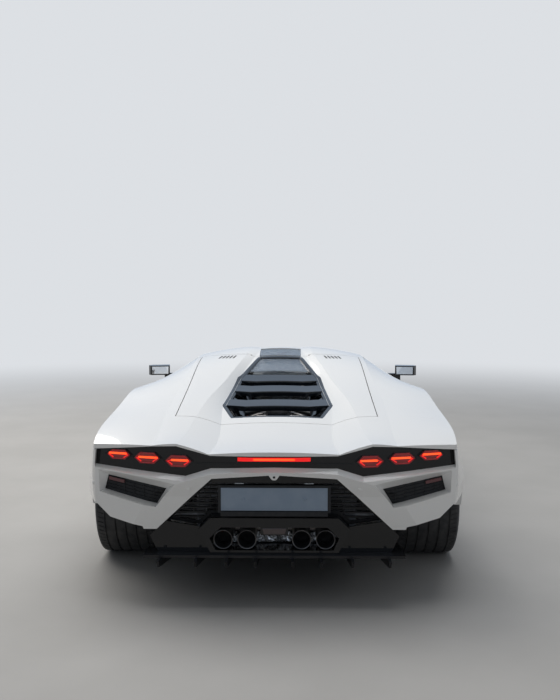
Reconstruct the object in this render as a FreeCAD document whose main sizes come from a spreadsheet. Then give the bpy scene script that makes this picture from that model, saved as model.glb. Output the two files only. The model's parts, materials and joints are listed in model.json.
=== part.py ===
"""A low mid-engined supercar: carbon tub, hung body panels, scissor doors and a louvred engine cover.

Millimetres. +X is forward, +Y is left and +Z is up. The origin is on the ground, under the car's middle.
"""
import FreeCAD
import Part
import Sketcher
import math
import os

V = FreeCAD.Vector
Placement = FreeCAD.Placement
Rotation = FreeCAD.Rotation
doc = FreeCAD.newDocument("supercar")

# Driving dimensions: alias, value in millimetres or degrees
SIZES = (
    ("body_length", 4870),
    ("body_width", 2099),
    ("roof_height", 1139),
    ("cowl_height", 800),
    ("nose_height", 500),
    ("deck_height", 815),
    ("ground_clearance", 115),
    ("wheelbase", 2700),
    ("front_overhang", 1110),
    ("front_track", 1760),
    ("rear_track", 1709),
    ("front_tyre_width", 255),
    ("front_tyre_radius", 330),
    ("front_rim_radius", 254),
    ("rear_tyre_width", 355),
    ("rear_tyre_radius", 355),
    ("rear_rim_radius", 267),
    ("disc_radius", 190),
    ("skin", 36),
    ("end_skin", 70),
    ("shut_gap", 5),
    ("seat_gap", 0.3),
    ("crown", 0.022),
    ("glass_thickness", 5),
    ("glass_set_in", 4),
    ("arch_clearance", 36),
    ("front_well_inner", 590),
    ("rear_well_inner", 655),
    ("door_inner_y", 800),
    ("door_sill", 250),
    ("cover_half_width", 552),
    ("cover_front", 975),
    ("cover_rear", 425),
    ("lid_front", 250),
    ("lid_rear", 190),
    ("lid_half_width", 560),
    ("roof_glass_half_width", 147),
    ("cowl_front", 250),
    ("tail_underside", 385),
    ("floor_half_width", 790),
    ("door_belt", 780),
    ("door_hinge_y", 770),
    ("door_hinge_height", 795),
    ("door_lean", 7),
    ("hinge_pin_radius", 12),
    ("lid_hinge_height", 770),
    ("cover_hinge_height", 1104),
    ("tail_bow", 155),
    ("tail_tuck", 35),
    ("nose_bow", 235),
    ("lamp_recess", 26),
    ("corner_vent_depth", 45),
    ("splitter_thickness", 14),
    ("diffuser_half_width", 640),
    ("louvre_depth", 30),
    ("louvre_chord", 130),
    ("grille_recess", 60),
    ("nose_grille_recess", 40),
    ("intake_grille_recess", 24),
    ("grille_low", 462),
    ("grille_pitch", 24),
    ("grille_slot", 15),
    ("plate_length", 520),
    ("plate_height", 112),
    ("plate_thickness", 6),
    ("plate_centre", 547),
    ("plate_in", 84),
    ("hub_radius", 60),
    ("spindle_radius", 25),
    ("spindle_clearance", 0.05),
    ("disc_thickness", 25),
    ("rim_wall", 14),
    ("dial_thickness", 24),
    ("dish_depth", 16),
    ("kingpin_in", 30),
    ("arm_thickness", 24),
    ("arm_low", 218),
    ("arm_high", 438),
    ("front_chassis_y", 470),
    ("rear_chassis_y", 440),
    ("steering_wheel_radius", 178),
    ("driver_y", 370),
    ("engine_length", 800),
    ("engine_width", 700),
    ("engine_height", 420),
    ("exhaust_radius", 46),
    ("exhaust_wall", 3),
    ("exhaust_height", 346),
    ("tow_thread_radius", 9),
    ("tow_thread_length", 60),
    ("tow_way_radius", 21),
    ("tow_in", 140),
    ("tow_y", 335),
    ("tow_height", 366),
    ("plate_bolt_radius", 3.5),
    ("plate_bolt_spacing", 300),
    ("jack_pad_depth", 8),
    ("jack_pad_size", 70),
)

sheet = doc.addObject("Spreadsheet::Sheet", "sizes")
for row, (alias, value) in enumerate(SIZES, start=1):
    sheet.set(f"A{row}", alias)
    sheet.set(f"B{row}", str(value))
    sheet.setAlias(f"B{row}", alias)
doc.recompute()


class Sizes:
    """The sheet's cells, read by alias."""

    def __getattr__(self, alias):
        return float(sheet.get(alias))


s = Sizes()
half_length = s.body_length / 2
half_width = s.body_width / 2
front_axle = half_length - s.front_overhang
rear_axle = front_axle - s.wheelbase
middle = (front_axle + rear_axle) / 2
ANCHORS = {
    "nose": half_length, "front": front_axle, "middle": middle, "rear": rear_axle, "tail": -half_length,
}
HEIGHTS = {"nose": s.nose_height, "cowl": s.cowl_height, "roof": s.roof_height - 3, "deck": s.deck_height}
HIGH = s.roof_height + 200
FAR = half_length + 200
WIDE = half_width + 200

# Body sections from nose to tail. Heights named "down" are below the section's own top height. Widths named
# "in" are inwards of the car's half width; other widths are from the centre line.
COLUMNS = (
    "anchor", "offset", "top", "centre_down", "channel_y", "ridge_y", "ridge_down", "rail_y", "rail_down",
    "shoulder_in", "shoulder_down", "waist_in", "waist_z", "sill_in", "sill_z", "floor_in",
)
SECTIONS = (
    ("nose", 30, "nose", 8, 150, 290, 4, 545, 14, 260, 42, 215, 330, 225, 190, 265),
    ("nose", -300, "nose", -62, 158, 310, -68, 575, -60, 145, -28, 105, 420, 115, 200, 170),
    ("front", 400, "nose", -165, 166, 330, -172, 610, -168, 78, -140, 28, 500, 60, 210, 120),
    ("front", 0, "cowl", 48, 175, 345, 40, 680, 46, 72, 62, 12, 540, 58, 225, 130),
    ("front", -380, "cowl", -42, 180, 350, -46, 745, -2, 92, 22, 42, 540, 75, 230, 150),
    ("middle", 500, "roof", 137, 170, 300, 136, 655, 172, 128, 335, 58, 530, 90, 235, 160),
    ("middle", 50, "roof", 12, 145, 230, 4, 590, 62, 148, 305, 66, 525, 98, 240, 165),
    ("middle", -300, "roof", 31, 168, 226, 15, 585, 50, 150, 275, 64, 530, 95, 240, 165),
    ("rear", 700, "roof", 111, 232, 281, 75, 588, 78, 142, 234, 42, 540, 80, 240, 160),
    ("rear", 300, "deck", -125, 292, 344, -170, 600, -174, 128, -120, 12, 560, 45, 245, 150),
    ("rear", -100, "deck", -61, 320, 409, -110, 615, -104, 118, -72, 0, 570, 30, 250, 150),
    ("rear", -480, "deck", 0, 302, 445, -48, 610, -50, 116, -34, 31, 570, 60, 260, 190),
    ("tail", 190, "deck", 40, 306, 468, -8, 600, 0, 146, 16, 141, 560, 200, 280, 300),
    ("tail", -30, "deck", 42, 312, 480, 2, 600, 14, 190, 30, 200, 550, 260, 300, 360),
)


def half_section(row, inset):
    """The section's corners from the floor to the centre channel, moved inwards by the inset."""
    c = dict(zip(COLUMNS, row))
    top = HEIGHTS[c["top"]]
    corners = [
        (half_width - c["floor_in"], s.ground_clearance),
        (half_width - c["sill_in"], c["sill_z"]),
        (half_width - c["waist_in"], c["waist_z"]),
        (half_width - c["shoulder_in"], top - c["shoulder_down"]),
        (c["rail_y"], top - c["rail_down"]),
        (c["ridge_y"], top - c["ridge_down"]),
        (c["channel_y"], top - c["centre_down"]),
    ]
    return ANCHORS[c["anchor"]] + c["offset"], offset_inwards(corners, inset)


def offset_inwards(corners, inset):
    """Moves each corner of a half section inwards by the same distance, square to its two sides."""
    if not inset:
        return corners
    line = [(0.0, corners[0][1])] + corners + [(0.0, corners[-1][1])]
    moved = []
    for a, b, c in zip(line, line[1:], line[2:]):
        u = V(b[0] - a[0], b[1] - a[1], 0).normalize()
        w = V(c[0] - b[0], c[1] - b[1], 0).normalize()
        n, m = V(-u.y, u.x, 0), V(-w.y, w.x, 0)
        step = (n + m) * (inset / (1 + n.dot(m)))
        moved.append((b[0] + step.x, b[1] + step.y))
    return moved


def crowned_wire(points, crown):
    """A closed wire through the points, each side but the floor bowed outwards by a share of its length."""
    edges = []
    for a, b in zip(points, points[1:] + points[:1]):
        bowed = (a + b) / 2 + (b - a).cross(V(1, 0, 0)) * crown
        on_floor = a.z == b.z == points[0].z
        side = Part.LineSegment(a, b) if on_floor or not crown else Part.Arc(a, bowed, b)
        edges.append(side.toShape())
    return Part.Wire(edges)


def body_loft(inset):
    """The whole outer form of the car, every surface moved inwards by the inset."""
    wires = []
    for section in SECTIONS:
        x, half = half_section(section, inset)
        points = [V(x, y, z) for y, z in half] + [V(x, -y, z) for y, z in reversed(half)]
        wires.append(crowned_wire(points, s.crown))
    return Part.makeLoft(wires, True, False, False)


def rounded_wire(points, radius):
    """A closed wire through the points, each corner rounded by an arc as large as its sides allow."""
    corners = []
    for i, b in enumerate(points):
        a, c = points[i - 1], points[(i + 1) % len(points)]
        u, w = (a - b).normalize(), (c - b).normalize()
        half = max(u.getAngle(w) / 2, 0.05)
        back = min(radius / math.tan(half), 0.45 * min((a - b).Length, (c - b).Length))
        arc_middle = b + (u + w).normalize() * back * (1 / math.cos(half) - math.tan(half))
        corners.append((b + u * back, arc_middle, b + w * back))
    edges = []
    for i, (start, arc_middle, end) in enumerate(corners):
        edges.append(Part.Arc(start, arc_middle, end).toShape())
        edges.append(Part.LineSegment(end, corners[(i + 1) % len(corners)][0]).toShape())
    return Part.Wire(edges)


# Prisms, each an outline pushed along one axis

def prism(points, push, radius=0):
    wire = rounded_wire(points, radius) if radius else Part.makePolygon(points + points[:1])
    return Part.Face(wire).extrude(push)


def side_prism(outline, low, high, radius=0):
    """An outline of (x, z) corners, from y low to y high."""
    return prism([V(x, low, z) for x, z in outline], V(0, high - low, 0), radius)


def plan_prism(outline, low, high, radius=0):
    """An outline of (x, y) corners, from z low to z high."""
    return prism([V(x, y, low) for x, y in outline], V(0, 0, high - low), radius)


def rear_prism(outline, low, high, radius=0):
    """An outline of (y, z) corners, from x low to x high."""
    return prism([V(low, y, z) for y, z in outline], V(high - low, 0, 0), radius)


def box(x0, x1, y0, y1, z0, z1):
    return Part.makeBox(x1 - x0, y1 - y0, z1 - z0, V(x0, y0, z0))


def mirrored(shape):
    return shape.mirror(V(0, 0, 0), V(0, 1, 0))


def both(shape):
    """A shape on the left and its mirror on the right."""
    return [shape, mirrored(shape)]


def biggest(shape):
    return max(shape.Solids, key=lambda solid: solid.Volume)


NODES = []


def keep(name, shape):
    """A sub-part set from a shape worked out here."""
    feature = doc.addObject("Part::Feature", name)
    feature.Label = name
    feature.Shape = shape
    NODES.append(feature)
    return feature


def keep_pair(name, shape):
    keep(f"{name}_left", shape)
    keep(f"{name}_right", mirrored(shape))


# Nose and tail: the plan is bowed and the ends lean, so the loft is trimmed by this outline

def bowed_plan(shift_front, shift_back):
    nose, tail = half_length - shift_front, -half_length + s.tail_tuck + shift_back
    corner_y = half_width - 150
    front = [V(nose - s.nose_bow, corner_y, 0), V(nose, 0, 0), V(nose - s.nose_bow, -corner_y, 0)]
    back = [V(tail + s.tail_bow, -corner_y, 0), V(tail, 0, 0), V(tail + s.tail_bow, corner_y, 0)]
    front_x, back_x, side_y = nose - 2.2 * s.nose_bow, tail + 2.2 * s.tail_bow, half_width + 10
    sides_front = [V(front_x, side_y, 0), V(front_x, -side_y, 0)]
    sides_back = [V(back_x, -side_y, 0), V(back_x, side_y, 0)]
    edges = [
        Part.Arc(*front).toShape(),
        Part.LineSegment(front[2], sides_front[1]).toShape(),
        Part.LineSegment(sides_front[1], sides_back[0]).toShape(),
        Part.LineSegment(sides_back[0], back[0]).toShape(),
        Part.Arc(*back).toShape(),
        Part.LineSegment(back[2], sides_back[1]).toShape(),
        Part.LineSegment(sides_back[1], sides_front[0]).toShape(),
        Part.LineSegment(sides_front[0], front[0]).toShape(),
    ]
    return Part.Face(Part.Wire(edges)).extrude(V(0, 0, HIGH))


def leaning_ends(shift_front, shift_back):
    """The side view: a nose edge that leads and a tail that tucks in under the lamps."""
    nose, tail = half_length - shift_front, -half_length + s.tail_tuck + shift_back
    outline = (
        (nose - 60, 0), (nose - 18, 250), (nose, s.nose_height - 130), (nose - 12, s.nose_height - 30),
        (nose - 75, s.nose_height + 70), (nose - 75, HIGH),
        (tail + 20, HIGH), (tail, s.deck_height - 30), (tail + 12, s.deck_height - 125),
        (tail + 70, s.deck_height - 260), (tail + 110, 300), (tail + 110, 0),
    )
    return side_prism(outline, -WIDE, WIDE)


def ends(shift_front, shift_back):
    return bowed_plan(shift_front, shift_back).common(leaning_ends(shift_front, shift_back))


# The body's outer form, hollowed to a skin

def well(axle, radius, clearance, inner_y):
    """A wheel's well, open to the side, round the axle."""
    return Part.makeCylinder(radius + clearance, WIDE - inner_y, V(axle, inner_y, radius), V(0, 1, 0))


front_well = well(front_axle, s.front_tyre_radius, s.arch_clearance, s.front_well_inner)
rear_well = well(rear_axle, s.rear_tyre_radius, s.arch_clearance, s.rear_well_inner)
tail_underside = box(-FAR, rear_axle, -WIDE, WIDE, 0, s.tail_underside)
openings = Part.makeCompound(both(front_well) + both(rear_well) + [tail_underside])

outer = body_loft(0)
inner = body_loft(s.skin)
seat_form = body_loft(s.skin + s.seat_gap).common(ends(s.end_skin + s.seat_gap, s.end_skin + s.seat_gap))
form = outer.common(ends(0, 0)).cut(openings)
hollow = inner.common(ends(s.end_skin, s.end_skin))
shell = form.cut(hollow)
glass_top = body_loft(s.glass_set_in)
glass_bottom = body_loft(s.glass_set_in + s.glass_thickness)


def pane(outline, low=500):
    """A pane of glass set into the body's surface, inside an outline in plan."""
    space = plan_prism(grown(outline, -s.seat_gap), low, HIGH)
    return biggest(glass_top.common(space).cut(glass_bottom.common(space)))


# Panel splits at rest. Every split leaves the shut gap.
gap = s.shut_gap
seat = s.seat_gap
lid_front = half_length - s.lid_front
lid_rear = front_axle - s.lid_rear
cowl_front = front_axle - s.cowl_front
cover_front = rear_axle + s.cover_front
cover_rear = rear_axle - s.cover_rear
bumper_split = front_axle + 410
sill_top = s.door_sill - gap

# Plan of the roof's outer edge, from the foot of the screen pillar back to the engine cover, as (x, y)
RAIL = ((front_axle - 360, 762), (middle + 500, 670), (middle + 50, 606), (middle - 300, 601))
DOOR_TOP = RAIL + ((middle - 572, 790),)
SCREEN = ((cowl_front - 22, 0), (cowl_front - 40, 430), (front_axle - 400, 672), (middle + 500, 606),
          (middle + 150, 556), (middle + 130, 0))
WINDOW = ((middle + 700, 868), (middle + 500, 876), (middle + 50, 862), (middle - 330, 850),
          (middle - 420, 800), (middle - 290, 650), (middle + 50, 654), (middle + 500, 720),
          (middle + 620, 760))
# Side view of the door, as (x, z): its rear edge keeps outside every circle that the door's corners sweep
DOOR = ((front_axle - 465, s.door_sill), (front_axle - 400, 520), (front_axle - 382, 700),
        (front_axle - 380, HIGH), (middle - 572, HIGH), (middle - 572, 810), (middle - 560, 640),
        (middle - 420, s.door_sill))
# Plan of the engine cover's opening, from its narrow front to its rear edge, as (x, y)
VENT = ((cover_front - 35, 138), (rear_axle + 505, 252), (rear_axle - 75, 305), (rear_axle - 300, 245))


def mirrored_outline(half):
    """A half outline in plan, closed by its mirror across the centre line."""
    return list(half) + [(x, -y) for x, y in reversed(half) if y]


def lid_region(clear):
    """The front lid's space: its front edge leans forwards as it rises, to pass the bumper on opening."""
    front, rear = lid_front + clear, lid_rear - clear
    plan = ((front + 300, s.lid_half_width - 80 + clear), (rear, s.lid_half_width + 60 + clear))
    lean = ((rear, 400), (rear, HIGH), (front + 0.35 * (HIGH - 560), HIGH), (front - 0.35 * 160, 400))
    return plan_prism(mirrored_outline(plan), 400, HIGH).common(side_prism(lean, -WIDE, WIDE))


def cover_region(clear):
    """The engine cover's space, its rear edge leaning back as it rises."""
    front, rear = cover_front - gap + clear, cover_rear - clear
    bend = s.cover_hinge_height - 14
    lean = ((front, 500), (front, bend), (front - 0.2 * (HIGH - bend), HIGH),
            (rear - 0.3 * (HIGH - 850), HIGH), (rear + 0.3 * 350, 500))
    return side_prism(lean, -s.cover_half_width - clear, s.cover_half_width + clear)


def door_region(clear):
    """The left door's space: its side view, outboard of the roof's edge."""
    inboard = [(x, y + gap - clear) for x, y in DOOR_TOP]
    plan = [(FAR, inboard[0][1])] + inboard + [(-FAR, inboard[-1][1]), (-FAR, WIDE), (FAR, WIDE)]
    return side_prism(grown(DOOR, clear), 0, WIDE).common(plan_prism(plan, 0, HIGH))


def grown(points, by):
    """The same outline with each corner moved out by a distance, for a clearance round it."""
    if not by:
        return list(points)
    count = len(points)
    area = sum(a[0] * b[1] - b[0] * a[1] for a, b in zip(points, list(points[1:]) + [points[0]]))
    turn = 1 if area > 0 else -1
    moved = []
    for i, b in enumerate(points):
        a, c = points[i - 1], points[(i + 1) % count]
        u = V(b[0] - a[0], b[1] - a[1], 0).normalize()
        w = V(c[0] - b[0], c[1] - b[1], 0).normalize()
        n, m = V(u.y, -u.x, 0) * turn, V(w.y, -w.x, 0) * turn
        step = (n + m) * (by / (1 + n.dot(m)))
        moved.append((b[0] + step.x, b[1] + step.y))
    return moved


# Hinge pins: a point on each axis, the axis, and the pin's radius
DOOR_HINGE = V(front_axle - 370, s.door_hinge_y, s.door_hinge_height)
DOOR_AXIS = V(0, math.cos(math.radians(s.door_lean)), -math.sin(math.radians(s.door_lean)))
LID_HINGE = V(lid_rear - 35, 0, s.lid_hinge_height)
COVER_HINGE = V(cover_front + 2, 0, s.cover_hinge_height)


def pin(centre, axis, radius, low, high):
    """A round bar on an axis, from low to high along it."""
    return Part.makeCylinder(radius, high - low, centre + axis * low, axis)


# Grilles: level slots at an even pitch, cut through a slab inside its rim
GRILLE_RIM = 16
slot_starts = [s.grille_low + n * s.grille_pitch for n in range(-12, 14)]
slots = Part.makeCompound([box(-FAR, FAR, -WIDE, WIDE, z, z + s.grille_slot) for z in slot_starts])


def slotted(outline, slab, recess, depth):
    """A grille that fills an outline: the slab, with slots inside a plain rim."""
    field = slab(grown(outline, -GRILLE_RIM), recess, depth)
    return biggest(slab(grown(outline, -seat), recess, depth).cut(field.common(slots)))


# Openings in the nose as (y, z) from ahead, and behind the doors as (x, z) from the side
NOSE_INTAKE = ((318, 195), (775, 205), (792, 300), (742, 385), (520, 392), (400, 330))
SIDE_INTAKE = ((middle - 618, 772), (middle - 800, 742), (middle - 770, 575), (middle - 640, 610))

# Outer panels

cabin_door = door_region(0)
door_space = door_region(gap)
lid_space = lid_region(gap)
cover_space = cover_region(gap)
roof_front = [(cowl_front, 0), (cowl_front, 640)]
roof_outline = mirrored_outline(roof_front + list(RAIL) + [(cover_front, 601), (cover_front, 0)])
roof_space = plan_prism(roof_outline, 600, HIGH)
scuttle = plan_prism(mirrored_outline(((cowl_front + gap, 0), (cowl_front + gap, 640), (lid_rear, 640),
                                       (lid_rear, 0))), 600, HIGH)

front_part = box(bumper_split, FAR, -WIDE, WIDE, s.ground_clearance + s.splitter_thickness + seat, HIGH)
ahead_of_door = [(x + gap, z) for x, z in DOOR[:4]] + [(bumper_split - gap, HIGH), (bumper_split - gap, 0),
                                                       (front_axle - 500 + gap, 0)]
tail_part = box(-FAR, cover_rear - gap, -WIDE, WIDE, 0, HIGH)
hinge_space = pin(DOOR_HINGE, DOOR_AXIS, s.hinge_pin_radius + 13, -15, 20)
hinge_bore = pin(DOOR_HINGE, DOOR_AXIS, s.hinge_pin_radius + seat, -75, 0)

lamp_plan = ((half_length - 340, 590), (half_length - 235, 640), (half_length - 270, 815),
             (half_length - 430, 800))
lamp_hole = plan_prism(grown(lamp_plan, seat), 300, HIGH)
nose_back = half_length - 500
intake = rear_prism(NOSE_INTAKE, nose_back, FAR)
tow_line = V(0, -s.tow_y, s.tow_height)
tow_way = Part.makeCylinder(s.tow_way_radius, FAR, tow_line, V(1, 0, 0))
nose_openings = [lid_space, tow_way] + both(lamp_hole) + both(intake)
keep("front_bumper", biggest(shell.common(front_part).cut(Part.makeCompound(nose_openings))))
nose_form = form.common(front_part)


def nose_slab(outline, recess, depth):
    """A slab that follows the nose, set back from it, inside an outline seen from ahead."""
    space = rear_prism(outline, nose_back, FAR)
    back = nose_form.translated(V(-recess - depth, 0, 0))
    return nose_form.translated(V(-recess, 0, 0)).common(space).cut(back)


nose_grille = slotted(NOSE_INTAKE, nose_slab, s.nose_grille_recess, 12)
keep("front_grilles", Part.makeCompound(both(nose_grille)))
lamps = shell.common(plan_prism(lamp_plan, 300, HIGH))
keep("headlamps", Part.makeCompound(both(biggest(lamps))))

roof_surround = plan_prism(grown(roof_outline, gap), 600, HIGH)
underfloor = box(-FAR, FAR, 0, s.floor_half_width + seat, 0, s.ground_clearance + 2 * s.skin)
fender_cuts = Part.makeCompound([lid_space, roof_surround, scuttle, hinge_space, underfloor])
fender = biggest(shell.common(side_prism(ahead_of_door, 0, WIDE)).cut(fender_cuts))
keep("front_fenders", Part.makeCompound(both(fender)))

lid = shell.common(lid_region(0))
for y in (313, -313):
    pin_x, pin_z = LID_HINGE.x, LID_HINGE.z
    lug_view = ((pin_x - 13, pin_z - 12), (pin_x + 90, pin_z - 12), (pin_x + 90, HIGH), (lid_rear + 6, HIGH),
                (lid_rear + 6, pin_z + 12), (pin_x - 13, pin_z + 12))
    lug = side_prism(lug_view, y - 5, y + 5, 3).common(outer)
    middle_y = math.copysign(300, y)
    lid = lid.fuse([lug, pin(LID_HINGE, V(0, 1, 0), 6, middle_y - 16, middle_y + 16)])
keep("front_lid", biggest(lid))

screen_hole = plan_prism(mirrored_outline(SCREEN), 500, HIGH)
roof_glass_plan = mirrored_outline(((middle - 110, 0), (middle - 110, s.roof_glass_half_width),
                                    (cover_front + 14, s.roof_glass_half_width), (cover_front + 14, 0)))
roof_glass_hole = plan_prism(roof_glass_plan, 900, HIGH)
cover_notches = []
for y in (222, -222):
    cover_notches.append(pin(COVER_HINGE, V(0, 1, 0), 8 + gap, y - 9 - seat, y + 9 + seat))
    cover_notches.append(pin(COVER_HINGE, V(0, 1, 0), 4 + seat, y - 24, y + 24))
roof_cuts = [screen_hole, roof_glass_hole] + both(hinge_bore) + cover_notches
roof = shell.common(roof_space).cut(Part.makeCompound(roof_cuts))
keep("roof", biggest(roof))
keep("windshield", pane(mirrored_outline(SCREEN)))
keep("roof_glass", pane(roof_glass_plan, 900))

# Doors: solid below the glass, a skin with a cut window above it
window = plan_prism(WINDOW, 500, HIGH)
door_core = box(-FAR, FAR, s.door_inner_y, WIDE, 0, s.door_belt)
door = form.common(cabin_door).common(Part.makeCompound([door_core]))
door = door.fuse(shell.common(cabin_door)).cut(window)
door_pin = pin(DOOR_HINGE, DOOR_AXIS, s.hinge_pin_radius, -70, 4)
door_boss = pin(DOOR_HINGE, DOOR_AXIS, s.hinge_pin_radius + 8, 0, 18).common(outer)
door = biggest(door.fuse([door_pin, door_boss]))
keep_pair("door", door)
keep_pair("door_glass", pane(WINDOW))

# Sills and floor
sill_range = (middle - 420 - gap, front_axle - 495)
sill = form.common(box(sill_range[0], sill_range[1], s.floor_half_width + seat, WIDE, 0, sill_top))
keep("side_sills", Part.makeCompound(both(sill)))

# Engine cover, rear quarters and tail
vent_hole = plan_prism(mirrored_outline(VENT), 500, HIGH)
cover = shell.common(cover_region(0)).cut(vent_hole)
for y in (222, -222):
    arm = box(cover_front - 30, COVER_HINGE.x, y - 9, y + 9, COVER_HINGE.z - 8, COVER_HINGE.z + 8)
    knob = pin(COVER_HINGE, V(0, 1, 0), 8, y - 9, y + 9)
    cover = cover.fuse([arm.fuse(knob).common(outer), pin(COVER_HINGE, V(0, 1, 0), 4, y - 22, y + 22)])
keep("engine_cover", biggest(cover))
sill_space = box(middle - 420 - 2 * gap, FAR, 0, WIDE, 0, sill_top + gap)
side_intake = side_prism(SIDE_INTAKE, s.door_inner_y - 100, WIDE)
quarter_cuts = Part.makeCompound([cover_space, tail_part, door_space, roof_surround, underfloor, sill_space,
                                  side_intake])
quarter = biggest(shell.common(box(-FAR, middle - 300, 0, WIDE, 0, HIGH)).cut(quarter_cuts))
keep("rear_quarters", Part.makeCompound(both(quarter)))


def quarter_slab(outline, recess, depth):
    """A slab that follows the car's side, set inwards of it, inside an outline seen from the side."""
    space = side_prism(outline, s.door_inner_y - 100, WIDE)
    return body_loft(recess).common(space).cut(body_loft(recess + depth))


keep("side_intakes", Part.makeCompound(both(slotted(SIDE_INTAKE, quarter_slab, s.intake_grille_recess, 10))))
glass_rear = rear_axle + 660
glass_half = VENT[0][1] + (VENT[1][1] - VENT[0][1]) * (VENT[0][0] - glass_rear) / (VENT[0][0] - VENT[1][0])
keep("cover_glass", pane(mirrored_outline((VENT[0], (glass_rear, glass_half)))))

# Louvres across the cover's opening, as anchor, offset and half width of the straight middle
LOUVRES = (("rear", 560, 150), ("rear", 330, 170), ("rear", 20, 190))
vent_space = plan_prism(grown(mirrored_outline(VENT), -seat), 500, HIGH)
bar_layer = outer.cut(body_loft(s.louvre_depth)).common(vent_space)
bars = []
for anchor, offset, straight in LOUVRES:
    front = ANCHORS[anchor] + offset
    back = front - s.louvre_chord
    chevron = ((front, 0), (front, straight), (front + 90, 400), (back + 90, 400), (back, straight), (back, 0))
    bars.append(biggest(bar_layer.common(plan_prism(mirrored_outline(chevron), 500, HIGH))))
keep("engine_louvres", Part.makeCompound(bars))

# The tail: each piece is cut from the tail's own form by its outline as seen from behind, as (y, z)
tail = form.common(tail_part)
tail_skin = shell.common(tail_part)
LAMP_BAND = ((0, 762), (308, 762), (478, 804), (600, 798), (888, 772), (896, 700), (434, 664), (308, 706),
             (0, 712))
DECK = ((0, 750), (600, 750), (890, 777), (1150, 740), (1150, HIGH), (0, HIGH))
BUMPER = ((0, 720), (600, 740), (894, 772), (1150, 735), (1150, 500), (890, 500), (820, 438), (653, 399),
          (631, 340), (304, 652), (0, 672))
CORNER_MOUTH = ((880, 673), (486, 620), (584, 497), (876, 561))
CORNER_VENT = ((837, 639), (534, 588), (585, 507), (857, 566))
GRILLE = ((0, 672), (304, 652), (545, 422), (376, 394), (315, 450), (0, 450))
EXHAUST_FRAME = ((0, 450), (314.5, 450), (374, 392), (311, 272), (0, 272))
EXHAUST_WING = ((362, 396), (549, 426), (600, 410), (617, 352), (580, 272), (300, 272))
EXHAUST_HOLE = ((0, 365), (68, 365), (68, 404), (262, 404), (318, 350), (290, 290), (0, 290))
# Lamps, as centre y, centre z, half width and half height
LAMPS = ((774, 752, 62, 24), (626, 742, 66, 28), (468, 733, 66, 29))
HEXAGON = ((-1, 0), (-0.55, 1), (0.55, 1), (1, 0), (0.55, -1), (-0.55, -1))
# Ledge under the lamps, as distance from the centre, height of the lamps' opening and drop at the surface
LEDGE = ((900, 695.3, 12), (780, 686, 16), (660, 676.6, 20), (540, 667.3, 22), (433.5, 658.9, 24),
         (371, 679.7, 26), (308, 700.7, 26), (230, 702.2, 25), (-5, 706.8, 24))
tail_front = -half_length + 500


def whole(half):
    """A half outline seen from behind, closed by its mirror."""
    return list(half) + [(-y, z) for y, z in reversed(half) if y]


def tail_slab(outline, recess, depth):
    """A slab that follows the tail's end, set forwards of it, inside an outline seen from behind."""
    space = rear_prism(outline, -FAR, tail_front)
    return tail.translated(V(recess, 0, 0)).common(space).cut(tail.translated(V(recess + depth, 0, 0)))


def tail_line(y):
    """How far back the bowed tail reaches at a distance from the centre."""
    corner_y = half_width - 150
    radius = (corner_y ** 2 + s.tail_bow ** 2) / (2 * s.tail_bow)
    return -half_length + s.tail_tuck + radius - math.sqrt(radius ** 2 - y ** 2)


def tail_face(y, z):
    """How far back the tail reaches at the lamps' height: its bow, or its lean where that is further forwards."""
    lean = -half_length + s.tail_tuck + 12 * (s.deck_height - 30 - z) / 95
    return max(tail_line(y), lean)


def ledge_cut():
    """What the slope under the lamps takes from the bumper, from the lamp panel's face out to the surface."""
    wires = []
    for y, z, drop in LEDGE:
        x = tail_face(y, z)
        inner = V(x + 1.2 * s.lamp_recess, y, z + 0.2 * drop)
        low = V(x - 0.6 * s.lamp_recess, y, z - 1.6 * drop)
        wires.append(Part.makePolygon([inner, low, V(low.x, y, inner.z), inner]))
    return Part.makeLoft(wires, True, True)


def corner_wire(outline, depth):
    """An outline on the plane that follows the tail's corner, at a depth inside it."""
    near, far = CORNER_MOUTH[1][0], CORNER_MOUTH[0][0]
    slope = (tail_line(far) - tail_line(near)) / (far - near)
    points = [V(tail_line(near) + slope * (y - near) + depth, y, z) for y, z in outline]
    return Part.makePolygon(points + points[:1])


def corner_recess():
    """The funnel from the tail's corner in to its vent, carried on outside the surface."""
    outside = 20
    share = outside / s.corner_vent_depth
    pairs = zip(CORNER_MOUTH, CORNER_VENT)
    wide = [(y + (y - deep_y) * share, z + (z - deep_z) * share) for (y, z), (deep_y, deep_z) in pairs]
    wires = [corner_wire(wide, -outside), corner_wire(CORNER_VENT, s.corner_vent_depth)]
    return Part.makeLoft(wires, True, True)


keep("lamp_panel", biggest(tail_slab(grown(whole(LAMP_BAND), gap - seat), s.lamp_recess, 14)))
lamps = []
for y, z, wide, high in LAMPS:
    hexagon = [(y + a * wide, z + b * high) for a, b in HEXAGON]
    lamp = biggest(tail_slab(hexagon, s.lamp_recess - seat - 12, 12))
    lamps += both(lamp)
keep("tail_lamps", Part.makeCompound(lamps))
band_space = rear_prism(grown(whole(LAMP_BAND), gap), -FAR, tail_front)
deck_cuts = Part.makeCompound([band_space, cover_space])
keep("rear_deck", biggest(tail_skin.common(rear_prism(whole(DECK), -FAR, 0)).cut(deck_cuts)))
vent = rear_prism(CORNER_VENT, -FAR, tail_front)
bumper = tail_skin.common(rear_prism(whole(BUMPER), -FAR, 0)).cut(band_space)
bumper = bumper.cut(both(vent) + both(corner_recess()) + both(ledge_cut()))
keep("rear_bumper", biggest(bumper))

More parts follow.
